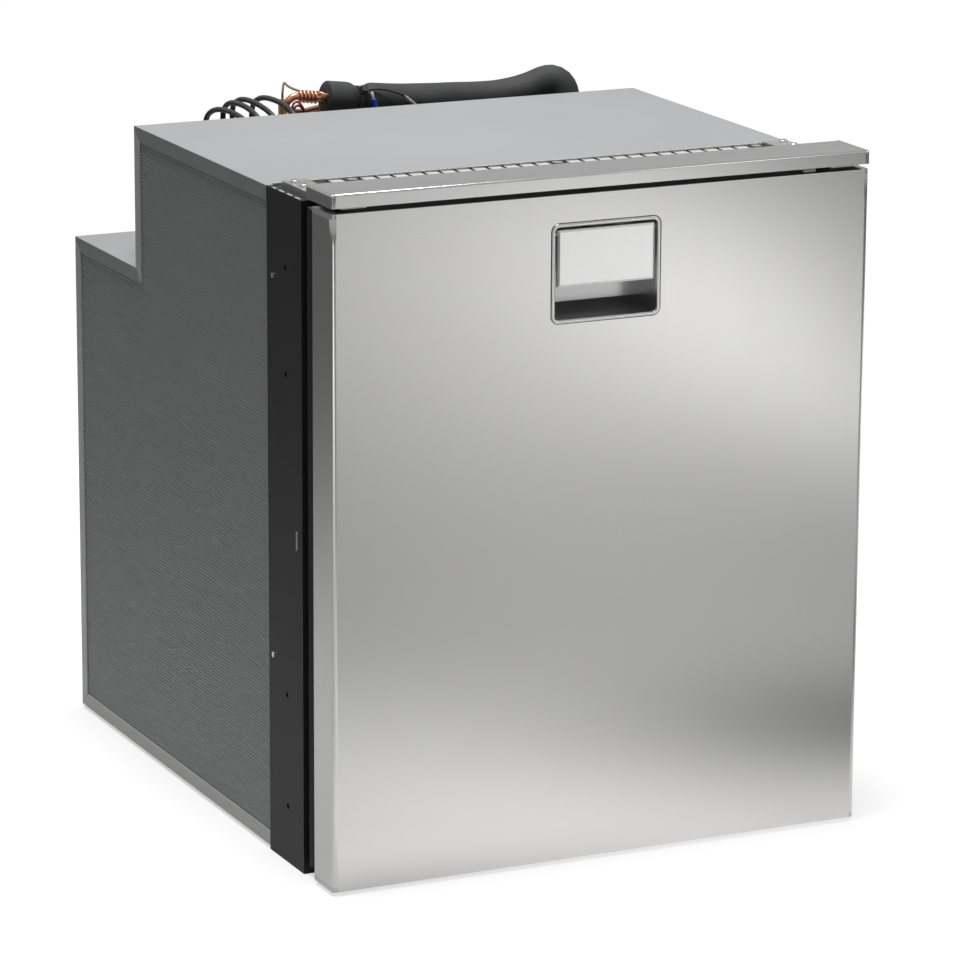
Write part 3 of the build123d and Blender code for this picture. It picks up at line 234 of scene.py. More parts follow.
def two_tones(tree, factor, tone, other, low=0.35, high=0.65):
    ramp = tree.nodes.new("ShaderNodeValToRGB")
    ramp.color_ramp.elements[0].position = low
    ramp.color_ramp.elements[0].color = (*tone, 1.0)
    ramp.color_ramp.elements[1].position = high
    ramp.color_ramp.elements[1].color = (*other, 1.0)
    tree.links.new(factor, ramp.inputs["Fac"])
    return ramp.outputs["Color"]


def vary_roughness(tree, shader, factor, roughness, stray):
    remap = tree.nodes.new("ShaderNodeMapRange")
    remap.inputs["To Min"].default_value = roughness - stray
    remap.inputs["To Max"].default_value = roughness + stray
    tree.links.new(factor, remap.inputs["Value"])
    tree.links.new(remap.outputs["Result"], shader.inputs["Roughness"])


def add_bump(tree, shader, height, strength, depth):
    bump = tree.nodes.new("ShaderNodeBump")
    bump.inputs["Strength"].default_value = strength
    bump.inputs["Distance"].default_value = depth
    tree.links.new(height, bump.inputs["Height"])
    tree.links.new(bump.outputs["Normal"], shader.inputs["Normal"])


def dusted(tree, colour, amount):
    # The colour under its share of dust
    dust = add_group(tree, dust_group, Amount=amount)
    blend = tree.nodes.new("ShaderNodeMix")
    blend.data_type = "RGBA"
    blend.inputs[7].default_value = (*dust_tone, 1.0)
    tree.links.new(dust.outputs["Dust"], blend.inputs["Factor"])
    tree.links.new(colour, blend.inputs[6])
    return blend.outputs[2]


def brushed_metal(name, tone, darker, roughness, brushing, anisotropy=0.0, bump=0.01):
    material, tree, shader = new_material(name, roughness, 1.0)
    grain = add_group(tree, brushing)
    streaks = grain.outputs["Streaks"]
    colour = two_tones(tree, streaks, darker, tone, low=0.3, high=0.7)
    tree.links.new(colour, shader.inputs["Base Color"])
    vary_roughness(tree, shader, streaks, roughness, streak_stray)
    shader.inputs["Anisotropic"].default_value = anisotropy
    add_bump(tree, shader, streaks, bump, streak_relief)
    return material


def coated_sheet(
    name, tone, darker, roughness, dust=0.05, ripple=0.05, metallic=0.0, specular=0.5
):
    material, tree, shader = new_material(name, roughness, metallic)
    shader.inputs["Specular IOR Level"].default_value = specular
    coat = add_group(tree, paint_group)
    colour = two_tones(tree, coat.outputs["Cloud"], darker, tone)
    tree.links.new(dusted(tree, colour, dust), shader.inputs["Base Color"])
    vary_roughness(tree, shader, coat.outputs["Cloud"], roughness, coat_stray)
    add_bump(tree, shader, coat.outputs["Ripple"], ripple, coat_relief)
    return material


def cellular(name, tone, darker, roughness, cells, bump, dust=0.1):
    material, tree, shader = new_material(name, roughness)
    foam = add_group(tree, cell_group, Cell_Scale=cells)
    colour = two_tones(tree, foam.outputs["Cloud"], darker, tone)
    tree.links.new(dusted(tree, colour, dust), shader.inputs["Base Color"])
    vary_roughness(tree, shader, foam.outputs["Cells"], roughness, cell_stray)
    add_bump(tree, shader, foam.outputs["Cells"], bump, cell_relief)
    return material


def two_part(
    name, axis, turns_at, tone, other, roughness, metallic=0.0, dust=0.05, ripple=0.05
):
    # One tone up to a place along an axis of the part, the other one beyond it
    material, tree, shader = new_material(name, roughness, metallic)
    coordinates = tree.nodes.new("ShaderNodeTexCoord")
    split = tree.nodes.new("ShaderNodeSeparateXYZ")
    along = tree.nodes.new("ShaderNodeMapRange")
    along.inputs["From Min"].default_value = turns_at[0]
    along.inputs["From Max"].default_value = turns_at[1]
    coat = add_group(tree, paint_group)
    tree.links.new(coordinates.outputs["Object"], split.inputs["Vector"])
    tree.links.new(split.outputs[axis], along.inputs["Value"])
    colour = two_tones(tree, along.outputs["Result"], tone, other, low=0.1, high=0.9)
    tree.links.new(dusted(tree, colour, dust), shader.inputs["Base Color"])
    add_bump(tree, shader, coat.outputs["Ripple"], ripple, coat_relief)
    return material


# The finishes themselves

# Where along X the tie's tail turns white, and along Y the tabs turn to a painted shade at their
# rear
tail_turns_white = (0.028, 0.031)
tabs_turn_to_painted_shade = (-0.1525, -0.1515)


def make_finishes():
    return {
        "stainless": brushed_metal(
            "stainless", (0.635, 0.63, 0.625), (0.625, 0.62, 0.615), 0.22, upright_brushing,
            anisotropy=0.5, bump=0.004,
        ),
        "trim_steel": brushed_metal(
            "trim_satin_steel", (0.62, 0.62, 0.615), (0.60, 0.60, 0.595), 0.21,
            lengthwise_brushing, anisotropy=0.3,
        ),
        "flap_metal": brushed_metal(
            "flap_satin", (0.86, 0.86, 0.855), (0.85, 0.85, 0.845), 0.27, upright_brushing
        ),
        "frame_paint": coated_sheet(
            "frame_black_coat", (0.018, 0.018, 0.019), (0.014, 0.014, 0.015), 0.5, dust=0.01,
            specular=0.3,
        ),
        "casing_paint": coated_sheet(
            "casing_grey_coat", (0.420, 0.425, 0.430), (0.405, 0.410, 0.415), 0.5, ripple=0.03,
            specular=0.3,
        ),
        # Lighter coat: its tone is painted reflection and rim light on the base and rear panels, and
        # a painted highlight on the top panel's hem
        "base_coat": coated_sheet(
            "light_coat_painted_reflection", (0.72, 0.72, 0.71), (0.66, 0.66, 0.65), 0.4, ripple=0.03
        ),
        "tie_nylon": two_part(
            "tie_nylon", "X", tail_turns_white, (0.02, 0.02, 0.02), (0.8, 0.8, 0.78), 0.6
        ),
        # Bright tabs, with painted shade at their rear beside the top panel's hem
        "tab_steel": two_part(
            "tab_plate_painted_shade", "Y", tabs_turn_to_painted_shade, (0.84, 0.84, 0.83), (0.06, 0.06, 0.06),
            0.25, metallic=0.3,
        ),
        "zinc_steel": coated_sheet(
            "zinc_sheet", (0.62, 0.62, 0.60), (0.48, 0.48, 0.47), 0.38, metallic=0.9
        ),
        "bare_steel": coated_sheet(
            "bright_steel", (0.80, 0.80, 0.78), (0.70, 0.70, 0.68), 0.22, metallic=1.0
        ),
        "bezel_metal": coated_sheet(
            "bezel_bright", (0.66, 0.66, 0.66), (0.62, 0.62, 0.62), 0.20, metallic=1.0
        ),
        "insulation": cellular(
            "rigid_foam", (0.80, 0.72, 0.50), (0.70, 0.62, 0.42), 0.85, cells=500.0, bump=0.3
        ),
        "pipe_foam": cellular(
            "pipe_foam", (0.030, 0.031, 0.033), (0.020, 0.021, 0.022), 0.72, cells=1100.0,
            bump=0.35,
        ),
        "liner_plastic": coated_sheet(
            "liner_white", (0.80, 0.81, 0.82), (0.76, 0.77, 0.78), 0.28, ripple=0.02
        ),
        "white_plastic": coated_sheet(
            "white_moulding", (0.80, 0.80, 0.78), (0.74, 0.74, 0.72), 0.4, ripple=0.04
        ),
        "black_plastic": cellular(
            "black_moulding", (0.020, 0.020, 0.021), (0.014, 0.014, 0.015), 0.45,
            cells=1600.0, bump=0.12,
        ),
        "cap_plastic": coated_sheet(
            "cap_silver_grey", (0.70, 0.70, 0.70), (0.66, 0.66, 0.66), 0.35, ripple=0.05,
            metallic=0.6,
        ),
        "bin_plastic": coated_sheet(
            "bin_grey", (0.42, 0.44, 0.46), (0.38, 0.40, 0.42), 0.35, ripple=0.03
        ),
        "clear_lens": coated_sheet(
            "lamp_lens_frosted", (0.86, 0.86, 0.84), (0.80, 0.80, 0.78), 0.25, dust=0.0
        ),
        "rubber": cellular(
            "black_rubber", (0.030, 0.030, 0.030), (0.020, 0.020, 0.020), 0.65,
            cells=1400.0, bump=0.15,
        ),
        "gasket_rubber": cellular(
            "gasket_vinyl", (0.010, 0.010, 0.010), (0.007, 0.007, 0.007), 0.6, cells=1800.0,
            bump=0.08, dust=0.02,
        ),
        "cup_plastic": coated_sheet(
            "cup_satin_moulding", (0.42, 0.42, 0.422), (0.38, 0.38, 0.382), 0.35, ripple=0.03,
            metallic=0.5, dust=0.0,
        ),
        "back_plate": brushed_metal(
            "back_plate_satin", (0.64, 0.64, 0.638), (0.62, 0.62, 0.618), 0.30, upright_brushing
        ),
        "cable_rubber": cellular(
            "cable_jacket", (0.024, 0.024, 0.025), (0.016, 0.016, 0.017), 0.38,
            cells=2200.0, bump=0.08,
        ),
        "wire_plastic": coated_sheet(
            "wire_black", (0.03, 0.03, 0.03), (0.02, 0.02, 0.02), 0.35, ripple=0.02
        ),
        "red_wire": coated_sheet(
            "wire_red", (0.50, 0.035, 0.025), (0.38, 0.025, 0.02), 0.35, ripple=0.02, dust=0.0
        ),
        "blue_sleeve": coated_sheet(
            "crimp_blue", (0.015, 0.085, 0.55), (0.012, 0.065, 0.45), 0.30, ripple=0.02, dust=0.0
        ),
        "brass": coated_sheet(
            "brass_neck", (0.90, 0.58, 0.22), (0.72, 0.42, 0.15), 0.32, metallic=1.0, dust=0.0
        ),
        "copper": coated_sheet(
            "copper_tube", (0.72, 0.36, 0.22), (0.42, 0.20, 0.13), 0.34, metallic=1.0, dust=0.0
        ),
        "aluminium": coated_sheet(
            "aluminium_sheet", (0.80, 0.81, 0.82), (0.72, 0.73, 0.74), 0.35, metallic=1.0
        ),
        "compressor_paint": coated_sheet(
            "compressor_black", (0.026, 0.026, 0.028), (0.018, 0.018, 0.019), 0.3, ripple=0.1
        ),
    }


finishes = make_finishes()


def dress(piece, material):
    piece.data.materials.clear()
    piece.data.materials.append(material)


# Nodes whose finish isn't that of their slot
own_finishes = {
    "cable_tie": "tie_nylon",
    "filter_drier": "brass",
    "handle_cup": "cup_plastic",
    "handle_back_plate": "back_plate",
    # Tabs with painted shade at their rear
    "edge_tabs": "tab_steel",
    # The base and rear panels take the lighter coat as painted reflection and rim light
    "base_panel": "base_coat",
    "rear_panels": "base_coat",
}


def dress_nodes():
    for row in frame["record"]["subparts"]:
        node = row["node"]
        dress(nodes[node], finishes[own_finishes.get(node, row["material_slot"])])


dress_nodes()


# Making pieces

# A face broader than this lies flat, so the bends beside it don't shade it
flat_width = 3.0 * MM
# An edge stays sharp where its faces turn by more than this many degrees
plain_crease = 35.0
rolled_crease = 60.0
bellows_crease = 50.0
plate_crease = 5.0
# Two faces that turn by more than this many degrees meet in a corner edge
corner_turn = 50.0


def add_piece(name, data, material, body, replaced):
    piece = bpy.data.objects.new(name, data)
    bpy.context.scene.collection.objects.link(piece)
    dress(piece, material)
    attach(piece, body)
    if replaced:
        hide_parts(*replaced)
    return piece


def finish_piece(name, bm, material, body, replaced=(), crease=plain_crease):
    mesh = bpy.data.meshes.new(name)
    bm.to_mesh(mesh)
    bm.free()
    mesh.set_sharp_from_angle(angle=math.radians(crease))
    for face in mesh.polygons:
        sides = [mesh.edges[mesh.loops[i].edge_index].vertices for i in face.loop_indices]
        longest = max((mesh.vertices[a].co - mesh.vertices[b].co).length for a, b in sides)
        face.use_smooth = face.area < flat_width * longest
    return add_piece(name, mesh, material, body, replaced)


def add_block(bm, low, high):
    verts = bmesh.ops.create_cube(bm, size=1.0)["verts"]
    bmesh.ops.scale(bm, verts=verts, vec=high - low)
    bmesh.ops.translate(bm, verts=verts, vec=(low + high) / 2)
    return verts


def add_upright_sheet(bm, low, high, y):
    verts = bmesh.ops.create_grid(bm, x_segments=1, y_segments=1, size=0.5)["verts"]
    bmesh.ops.scale(bm, verts=verts, vec=(high.x - low.x, high.z - low.z, 1.0))
    bmesh.ops.rotate(bm, verts=verts, matrix=Matrix.Rotation(math.radians(90), 3, "X"))
    bmesh.ops.translate(bm, verts=verts, vec=((low.x + high.x) / 2, y, (low.z + high.z) / 2))


def drop_faces(bm, wanted):
    faces = [face for face in bm.faces if wanted(face.calc_center_median())]
    bmesh.ops.delete(bm, geom=faces, context="FACES")


def cut_across(bm, axis, level):
    # New edges where a plane square to the axis crosses the faces
    spot = Vector((0.0, 0.0, 0.0))
    spot[axis] = level
    normal = Vector((0.0, 0.0, 0.0))
    normal[axis] = 1.0
    bmesh.ops.bisect_plane(
        bm, geom=bm.verts[:] + bm.edges[:] + bm.faces[:], plane_co=spot, plane_no=normal
    )


def edges_where(bm, test):
    return [edge for edge in bm.edges if test((edge.verts[0].co + edge.verts[1].co) / 2)]


def sharp_edges(bm):
    return [edge for edge in bm.edges if edge.calc_face_angle(0.0) > math.radians(corner_turn)]


def joined_edges(bm):
    return [edge for edge in bm.edges if len(edge.link_faces) == 2]


def round_edges(bm, edges, rounding):
    # The rounding is its radius and its number of segments
    radius, segments = rounding
    bmesh.ops.bevel(
        bm, geom=edges, offset=radius, offset_type="OFFSET", segments=segments, profile=0.5,
        affect="EDGES", material=-1,
    )


def add_wall(bm, sheet):
    # Gives an open sheet its thickness, on the side that its faces look away from
    bmesh.ops.solidify(bm, geom=bm.faces[:], thickness=sheet)


# Casing sides

rib_margin = 1.0 * MM
rib_pitch = 2.7 * MM
rib_depth = 0.32 * MM
rows_a_rib = 6
panel_sheet = 0.4 * MM


def add_ribbed_panel(bm, side):
    # Sheet rolled with fine level ribs, sunk between the casing's folded flanges
    low, high = corners("side_panels")
    step_level = corners("step_panel")[1].z - rib_margin
    upper_back = corners("top_panel")[1].y - rib_margin
    face = side * (high.x - rib_depth)
    turn = Matrix(((0, 0, side), (side, 0, 0), (0, 1, 0)))
    for bottom, top, back in ((low.z, step_level, high.y), (step_level, high.z, upper_back)):
        rows = max(2, round((top - bottom) / rib_pitch * rows_a_rib))
        verts = bmesh.ops.create_grid(bm, x_segments=1, y_segments=rows, size=0.5)["verts"]
        bmesh.ops.scale(bm, verts=verts, vec=(back - low.y, top - bottom, 1.0))
        bmesh.ops.rotate(bm, verts=verts, matrix=turn)
        middle = Vector((face, (low.y + back) / 2, (bottom + top) / 2))
        bmesh.ops.translate(bm, verts=verts, vec=middle)


def make_side_panels():
    bm = bmesh.new()
    for side in (-1, 1):
        add_ribbed_panel(bm, side)
    for vert in bm.verts:
        side = math.copysign(1.0, vert.co.x)
        vert.co.x += side * rib_depth * math.cos(math.tau * vert.co.z / rib_pitch)
    add_wall(bm, panel_sheet)
    finish_piece(
        "ribbed_side_panels", bm, finishes["casing_paint"], "cabinet",
        ["side_panels"], rolled_crease,
    )


# Drawer front

front_corner = (3.5 * MM, 10)
front_cap_height = 3.5 * MM
front_cap_corner = 4.0 * MM
skin_sheet = 1.0 * MM
skin_edge = (0.2 * MM, 2)
hole_margin = 2.0 * MM


def make_front_skin():
    # One sheet folded round the two upright edges, its returns short of the end caps
    low, high = corners("drawer_skin")
    hole_low, hole_high = corners("handle_bezel")
    middle = (low + high) / 2
    bm = bmesh.new()
    add_block(bm, low, high)
    drop_faces(bm, lambda spot: spot.y > high.y - MM or abs(spot.z - middle.z) > MM)
    round_edges(bm, joined_edges(bm), front_corner)
    return_low = low.z + front_cap_height
    return_high = high.z - front_cap_height
    sheet_half = high.x - front_cap_corner
    for axis, level in ((2, return_low), (2, return_high), (0, -sheet_half), (0, sheet_half)):
        cut_across(bm, axis, level)
    drop_faces(
        bm, lambda spot: abs(spot.x) > sheet_half and not return_low < spot.z < return_high
    )
    margin = Vector((hole_margin, 0.0, hole_margin))
    hole_low = hole_low + margin
    hole_high = hole_high - margin
    for axis in (0, 2):
        cut_across(bm, axis, hole_low[axis])
        cut_across(bm, axis, hole_high[axis])
    drop_faces(
        bm, lambda spot: hole_low.x < spot.x < hole_high.x and hole_low.z < spot.z < hole_high.z
    )
    add_wall(bm, skin_sheet)
    round_edges(bm, sharp_edges(bm), skin_edge)
    finish_piece(
        "folded_front_skin", bm, finishes["stainless"], "drawer", ["drawer_skin"]
    )


ring_width = 3.0 * MM
ring_corner_segments = 10
bezel_corner = 6.2 * MM
bezel_crown = (1.0 * MM, 5)
# Thin dark ring round the bezel, painted shade
shade_ring_width = 0.4 * MM
shade_ring_proud = 0.25 * MM
shade_ring_crown = (0.1 * MM, 5)


def make_ring(bm, low, high, corner, crown):
    # Upright ring with rounded corners, its front rim rounded by the crown
    add_upright_sheet(bm, low, high, high.y)
    bmesh.ops.bevel(
        bm, geom=bm.verts[:], offset=corner, segments=ring_corner_segments, profile=0.5,
        affect="VERTICES", material=-1,
    )
    bmesh.ops.inset_region(
        bm, faces=bm.faces[:], thickness=ring_width, use_even_offset=True, use_boundary=True
    )
    mouth = max(bm.faces, key=lambda face: face.calc_area())
    bmesh.ops.delete(bm, geom=[mouth], context="FACES")
    raised = bmesh.ops.extrude_face_region(bm, geom=bm.faces[:])["geom"]
    moved = [part for part in raised if isinstance(part, bmesh.types.BMVert)]
    bmesh.ops.translate(bm, verts=moved, vec=(0.0, low.y - high.y, 0.0))
    bmesh.ops.recalc_face_normals(bm, faces=bm.faces[:])
    rim = [edge for edge in sharp_edges(bm) if edge.verts[0].co.y < low.y + near]
    round_edges(bm, rim, crown)


def make_bezel():
    # Crowned ring round the handle's cup, on a thin dark ring round its edge that is painted shade
    # of the gap
    low, high = corners("handle_bezel")
    bm = bmesh.new()
    make_ring(bm, low, high, bezel_corner, bezel_crown)
    finish_piece(
        "crowned_bezel", bm, finishes["bezel_metal"], "drawer", ["handle_bezel"]
    )
    # Thin dark ring just round the bezel: painted shade
    face = corners("drawer_skin")[0].y
    bm = bmesh.new()
    make_ring(
        bm, Vector((low.x - shade_ring_width, face - shade_ring_proud, low.z - shade_ring_width)),
        Vector((high.x + shade_ring_width, face + shade_ring_proud, high.z + shade_ring_width)),
        bezel_corner + shade_ring_width, shade_ring_crown,
    )
    finish_piece("bezel_painted_shade_ring", bm, finishes["gasket_rubber"], "drawer")


flap_plate_thickness = 1.0 * MM
flap_plate_proud = 0.1 * MM
flap_plate_border = 1.5 * MM
flap_plate_rise = 0.35 * MM
flap_plate_inset = 0.1 * MM
flap_plate_corner = (1.9 * MM, 4)


def make_flap_plate():
    # Face plate of the flap, chamfered all round
    low, high = corners("handle_flap")
    front = low.y - flap_plate_proud
    inset = Vector((flap_plate_inset, 0.0, flap_plate_inset))
    bm = bmesh.new()
    plate_low = Vector((low.x, front, low.z)) + inset
    plate_high = Vector((high.x, front + flap_plate_thickness, high.z)) - inset
    add_block(bm, plate_low, plate_high)
    middle = front + flap_plate_thickness / 2
    upright = edges_where(bm, lambda spot: abs(spot.y - middle) < near)
    round_edges(bm, upright, flap_plate_corner)
    face = min(bm.faces, key=lambda side: side.calc_center_median().y)
    bmesh.ops.inset_region(bm, faces=[face], thickness=flap_plate_border, use_even_offset=True)
    bmesh.ops.translate(bm, verts=face.verts[:], vec=(0.0, -flap_plate_rise, 0.0))
    finish_piece(
        "flap_face_plate", bm, finishes["flap_metal"], "flap", (), plate_crease
    )


# Bellows of the gasket: how far each fold stands out, and how far back it is
gasket_folds = (
    (0.0, 0.0), (0.0, 2.0), (1.8, 3.5), (2.2, 5.5), (1.2, 7.5), (-1.2, 9.0), (-1.2, 11.5),
    (0.8, 13.0), (2.0, 15.5), (2.0, 19.0), (1.0, 21.4), (-1.5, 22.1),
)
gasket_width = 14.0 * MM
gasket_foot_width = 8.0 * MM


def make_gasket():
    # A loop of edges drawn back from fold to fold, then forward again inside
    low, high = corners("gasket")
    middle = (low.z + high.z) / 2
    bm = bmesh.new()
    add_upright_sheet(bm, low, high, low.y)
    loop = bm.edges[:]
    bmesh.ops.delete(bm, geom=bm.faces[:], context="FACES_ONLY")
    outer = [(fold * MM, fold * MM, fold * MM, depth * MM) for fold, depth in gasket_folds]
    last = outer[-1][3]
    inner = [
        (-gasket_width, -gasket_foot_width, -gasket_width, last),
        (-gasket_width, -gasket_foot_width, -gasket_width, 0.0), (0.0, 0.0, 0.0, 0.0),
    ]
    stations = outer + inner
    for before, after in zip(stations, stations[1:]):
        grown = bmesh.ops.extrude_edge_only(bm, edges=loop)["geom"]
        loop = [part for part in grown if isinstance(part, bmesh.types.BMEdge)]
        side, foot, head, depth = [new - old for new, old in zip(after, before)]
        for vert in (part for part in grown if isinstance(part, bmesh.types.BMVert)):
            vert.co.x += side if vert.co.x > 0 else -side
            vert.co.z += head if vert.co.z > middle else -foot
            vert.co.y += depth
    bmesh.ops.remove_doubles(bm, verts=bm.verts, dist=merge_distance)
    bmesh.ops.recalc_face_normals(bm, faces=bm.faces[:])
    finish_piece(
        "bellows_gasket", bm, finishes["gasket_rubber"], "drawer", ["gasket"],
        bellows_crease,
    )


# Dark strip laid on the top of the drawer front: painted shade for the gap under the trim

strip_border = Vector((6.0, 1.5, 0.0)) * MM
strip_height = 0.4 * MM
strip_edge = (0.2 * MM, 2)


def make_painted_shade_strip():
    # It ends short of the latch bolt, which rises through the top
    low, high = corners("front_end_caps")
    back = corners("latch_bolt")[0].y
    bm = bmesh.new()
    add_block(
        bm, Vector((low.x, low.y, high.z - strip_height)) + strip_border,
        Vector((high.x, back, high.z + strip_height)) - strip_border,
    )
    round_edges(bm, bm.edges[:], strip_edge)
    finish_piece("front_top_painted_shade", bm, finishes["gasket_rubber"], "drawer")


# Hem along the front edge of the top panel, its bright line a painted highlight in the lighter coat

hem_half = 214.0 * MM
hem_depth = 1.2 * MM
hem_height = 1.9 * MM
hem_proud = 1.4 * MM
hem_edge = (0.25 * MM, 3)


def make_top_hem():
    low, high = corners("top_panel")
    bm = bmesh.new()
    front = low.y - hem_depth / 2
    add_block(
        bm, Vector((-hem_half, front, high.z + hem_proud - hem_height)),
        Vector((hem_half, front + hem_depth, high.z + hem_proud)),
    )
    round_edges(bm, bm.edges[:], hem_edge)
    finish_piece("top_panel_hem_painted_highlight", bm, finishes["base_coat"], "cabinet")


# Trim bar over the front

trim_sheet = 1.2 * MM
trim_bend = (1.6 * MM, 6)
trim_lip = 6.5 * MM
trim_edge = (0.2 * MM, 2)
trim_cap_corner = (1.8 * MM, 5)


def make_trim_sheet():
    # One sheet: front face, top, and a lip folded down behind
    low, high = corners("trim_bar")
    bm = bmesh.new()
    add_block(bm, low, high)
    drop_faces(bm, lambda spot: spot.z < low.z + MM or abs(spot.x) > high.x - MM)
    round_edges(bm, joined_edges(bm), trim_bend)
    cut_across(bm, 2, high.z - trim_lip)
    drop_faces(bm, lambda spot: spot.y > high.y - MM and spot.z < high.z - trim_lip)
    add_wall(bm, trim_sheet)
    round_edges(bm, sharp_edges(bm), trim_edge)
    finish_piece(
        "folded_trim_bar", bm, finishes["trim_steel"], "cabinet", ["trim_bar"]
    )


def make_trim_caps():
    # A cap over each end of the bar, rounded at its outer and front edges
    low, high = corners("trim_end_caps")
    seam = corners("trim_bar")[1].x + near
    bm = bmesh.new()
    for left, right in ((low.x, -seam), (seam, high.x)):
        verts = add_block(bm, Vector((left, low.y, low.z)), Vector((right, high.y, high.z)))
        outer = left if left < 0 else right
        edges = {edge for vert in verts for edge in vert.link_edges}
        chosen = []
        for edge in edges:
            spot = (edge.verts[0].co + edge.verts[1].co) / 2
            at_end = abs(spot.x - outer) < near
            at_front = abs(spot.y - low.y) < near
            at_top = abs(spot.z - high.z) < near
            if at_end + at_front + at_top == 2:
                chosen.append(edge)
        round_edges(bm, chosen, trim_cap_corner)
    finish_piece(
        "rounded_trim_caps", bm, finishes["trim_steel"], "cabinet",
        ["trim_end_caps"],
    )


# Foam sleeves over the suction pipe

suction_route = [
    on_step(170.0, 0.0, 55.0), on_step(171.0, 33.0, 56.0), on_step(176.5, 40.0, 123.0),
    on_step(138.0, 51.0, 104.0), on_step(80.0, 53.0, 105.0), on_step(24.0, 51.5, 107.5),
    on_step(-62.5, 48.0, 118.5),
]
sleeve_radius = 14.0 * MM
waist_radius = 9.6 * MM
pipe_radius = 2.9 * MM
waist_length = 11.0 * MM
tie_x = -5.6 * MM
sleeve_end_x = -35.0 * MM
sleeve_mouth_round = 1.5 * MM
sleeve_sides = 48
ring_step = 3.0 * MM
# A ring faces along the line between the places this far behind and ahead of it
aim_reach = 2.0 * MM
# The foam is uneven by the lumps' height, and the folds that the tie makes are deeper
lump_height = 0.35 * MM
lump_along = 45.0
lump_round = 1.2
fold_depth = 1.3 * MM
fold_round = 4.5
fold_start = Vector((3.0, 1.0, 0.0))
line_fineness = 24
cord_fineness = 8
cord_roundness = 4


def smooth_curve(name, points, fineness):
    # A curve with one NURBS, whose control points are the route's
    curve = bpy.data.curves.new(name, "CURVE")
    curve.dimensions = "3D"
    curve.resolution_u = fineness
    spline = curve.splines.new("NURBS")
    spline.points.add(len(points) - 1)
    for point, spot in zip(spline.points, points):
        point.co = (*spot, 1.0)
    spline.order_u = 3
    spline.use_endpoint_u = True
    return curve


def route_line(points):
    # The same smooth line as a list of places
    curve = smooth_curve("route", points, line_fineness)
    guide = bpy.data.objects.new("route", curve)
    bpy.context.scene.collection.objects.link(guide)
    bpy.context.view_layer.update()
    depsgraph = bpy.context.evaluated_depsgraph_get()
    mesh = bpy.data.meshes.new_from_object(guide.evaluated_get(depsgraph))
    line = [vert.co.copy() for vert in mesh.vertices]
    bpy.data.objects.remove(guide)
    bpy.data.curves.remove(curve)
    bpy.data.meshes.remove(mesh)
    return line


def spot_along(line, distance):
    left = distance
    for start, end in zip(line, line[1:]):
        run = (end - start).length
        if left <= run:
            break
        left -= run
    return start + (end - start).normalized() * left


def distance_to_x(line, x):
    travelled = 0.0
    for start, end in zip(line, line[1:]):
        if end.x < x:
            return travelled + (end - start).length * (start.x - x) / (start.x - end.x)
        travelled += (end - start).length
    return travelled


def foam_tube(name, line, stations, node):
    # Rings along the line, a little uneven, and gathered into folds where the tie grips it
    bm = bmesh.new()
    rings = []
    for distance, radius, grip in stations:
        spot = spot_along(line, distance)
        ahead = spot_along(line, distance + aim_reach)
        way = ahead - spot_along(line, max(distance - aim_reach, 0.0))
        turn = way.to_track_quat("Z", "Y").to_matrix().to_4x4()
        verts = bmesh.ops.create_circle(
            bm, segments=sleeve_sides, radius=radius, matrix=Matrix.Translation(spot) @ turn
        )["verts"]
        rings.append(list({edge for vert in verts for edge in vert.link_edges}))
        if radius > pipe_radius * 2:
            for vert in verts:
                out = (vert.co - spot).normalized()
                lumps = lump_height * noise.noise(spot * lump_along + out * lump_round)
                folds = fold_depth * grip * noise.noise(out * fold_round + fold_start)
                vert.co += out * (lumps + folds)
    for ring, following in zip(rings, rings[1:]):
        bmesh.ops.bridge_loops(bm, edges=ring + following)
    for ring in (rings[0], rings[-1]):
        bmesh.ops.contextual_create(bm, geom=ring)
    bmesh.ops.recalc_face_normals(bm, faces=bm.faces[:])
    sleeve = finish_piece(
        name, bm, finishes["pipe_foam"], "cabinet", [node], rolled_crease
    )


def sleeve_stations(start, end, grips_start, grips_end):
    # Distance, radius and how hard the tie grips, from one end of a sleeve to the other
    stations = []
    count = round((end - start) / ring_step)
    for i in range(count + 1):
        distance = start + (end - start) * i / count
        grip = 0.0
        if grips_end:
            grip = max(0.0, 1.0 - (end - distance) / waist_length)
        if grips_start:
            grip = max(grip, 1.0 - (distance - start) / waist_length)
        ease = grip * grip * (3.0 - 2.0 * grip)
        stations.append((distance, sleeve_radius + (waist_radius - sleeve_radius) * ease, grip))
    first = stations[0][1]
    last = stations[-1][1]
    mouth_start = [(start, pipe_radius, 0.0), (start, first - sleeve_mouth_round, 0.0)]
    mouth_end = [(end, last - sleeve_mouth_round, 0.0), (end, pipe_radius, 0.0)]
    stations[0] = (start + sleeve_mouth_round, *stations[0][1:])
    stations[-1] = (end - sleeve_mouth_round, *stations[-1][1:])
    return mouth_start + stations + mouth_end


def make_sleeves():
    line = route_line(suction_route)
    tie = distance_to_x(line, tie_x)
    end = distance_to_x(line, sleeve_end_x)
    foam_tube(
        "long_foam_sleeve", line, sleeve_stations(0.0, tie, False, True), "foam_sleeve_long"
    )
    foam_tube(
        "short_foam_sleeve", line, sleeve_stations(tie, end, True, False), "foam_sleeve_short"
    )


# Cords: one curve each, along the route's points

def cord_curve(name, points, width, material, body, replaced):
    curve = smooth_curve(name, points, cord_fineness)
    curve.bevel_depth = width / 2
    curve.bevel_resolution = cord_roundness
    curve.use_fill_caps = True
    return add_piece(name, curve, material, body, replaced)


cable_width = 4.5
hank_turns = 4
points_a_turn = 16
# Where the first turn lies, and how far the next one is from it
hank_right = -75.0
hank_pitch = 13.0
hank_back = 46.0
hank_rise = 93.0
# Size and shape of a turn
hank_half_length = 40.0
hank_half_height = 23.0
hank_squareness = 0.8
hank_tilt = 0.06
hank_lean = 7.0
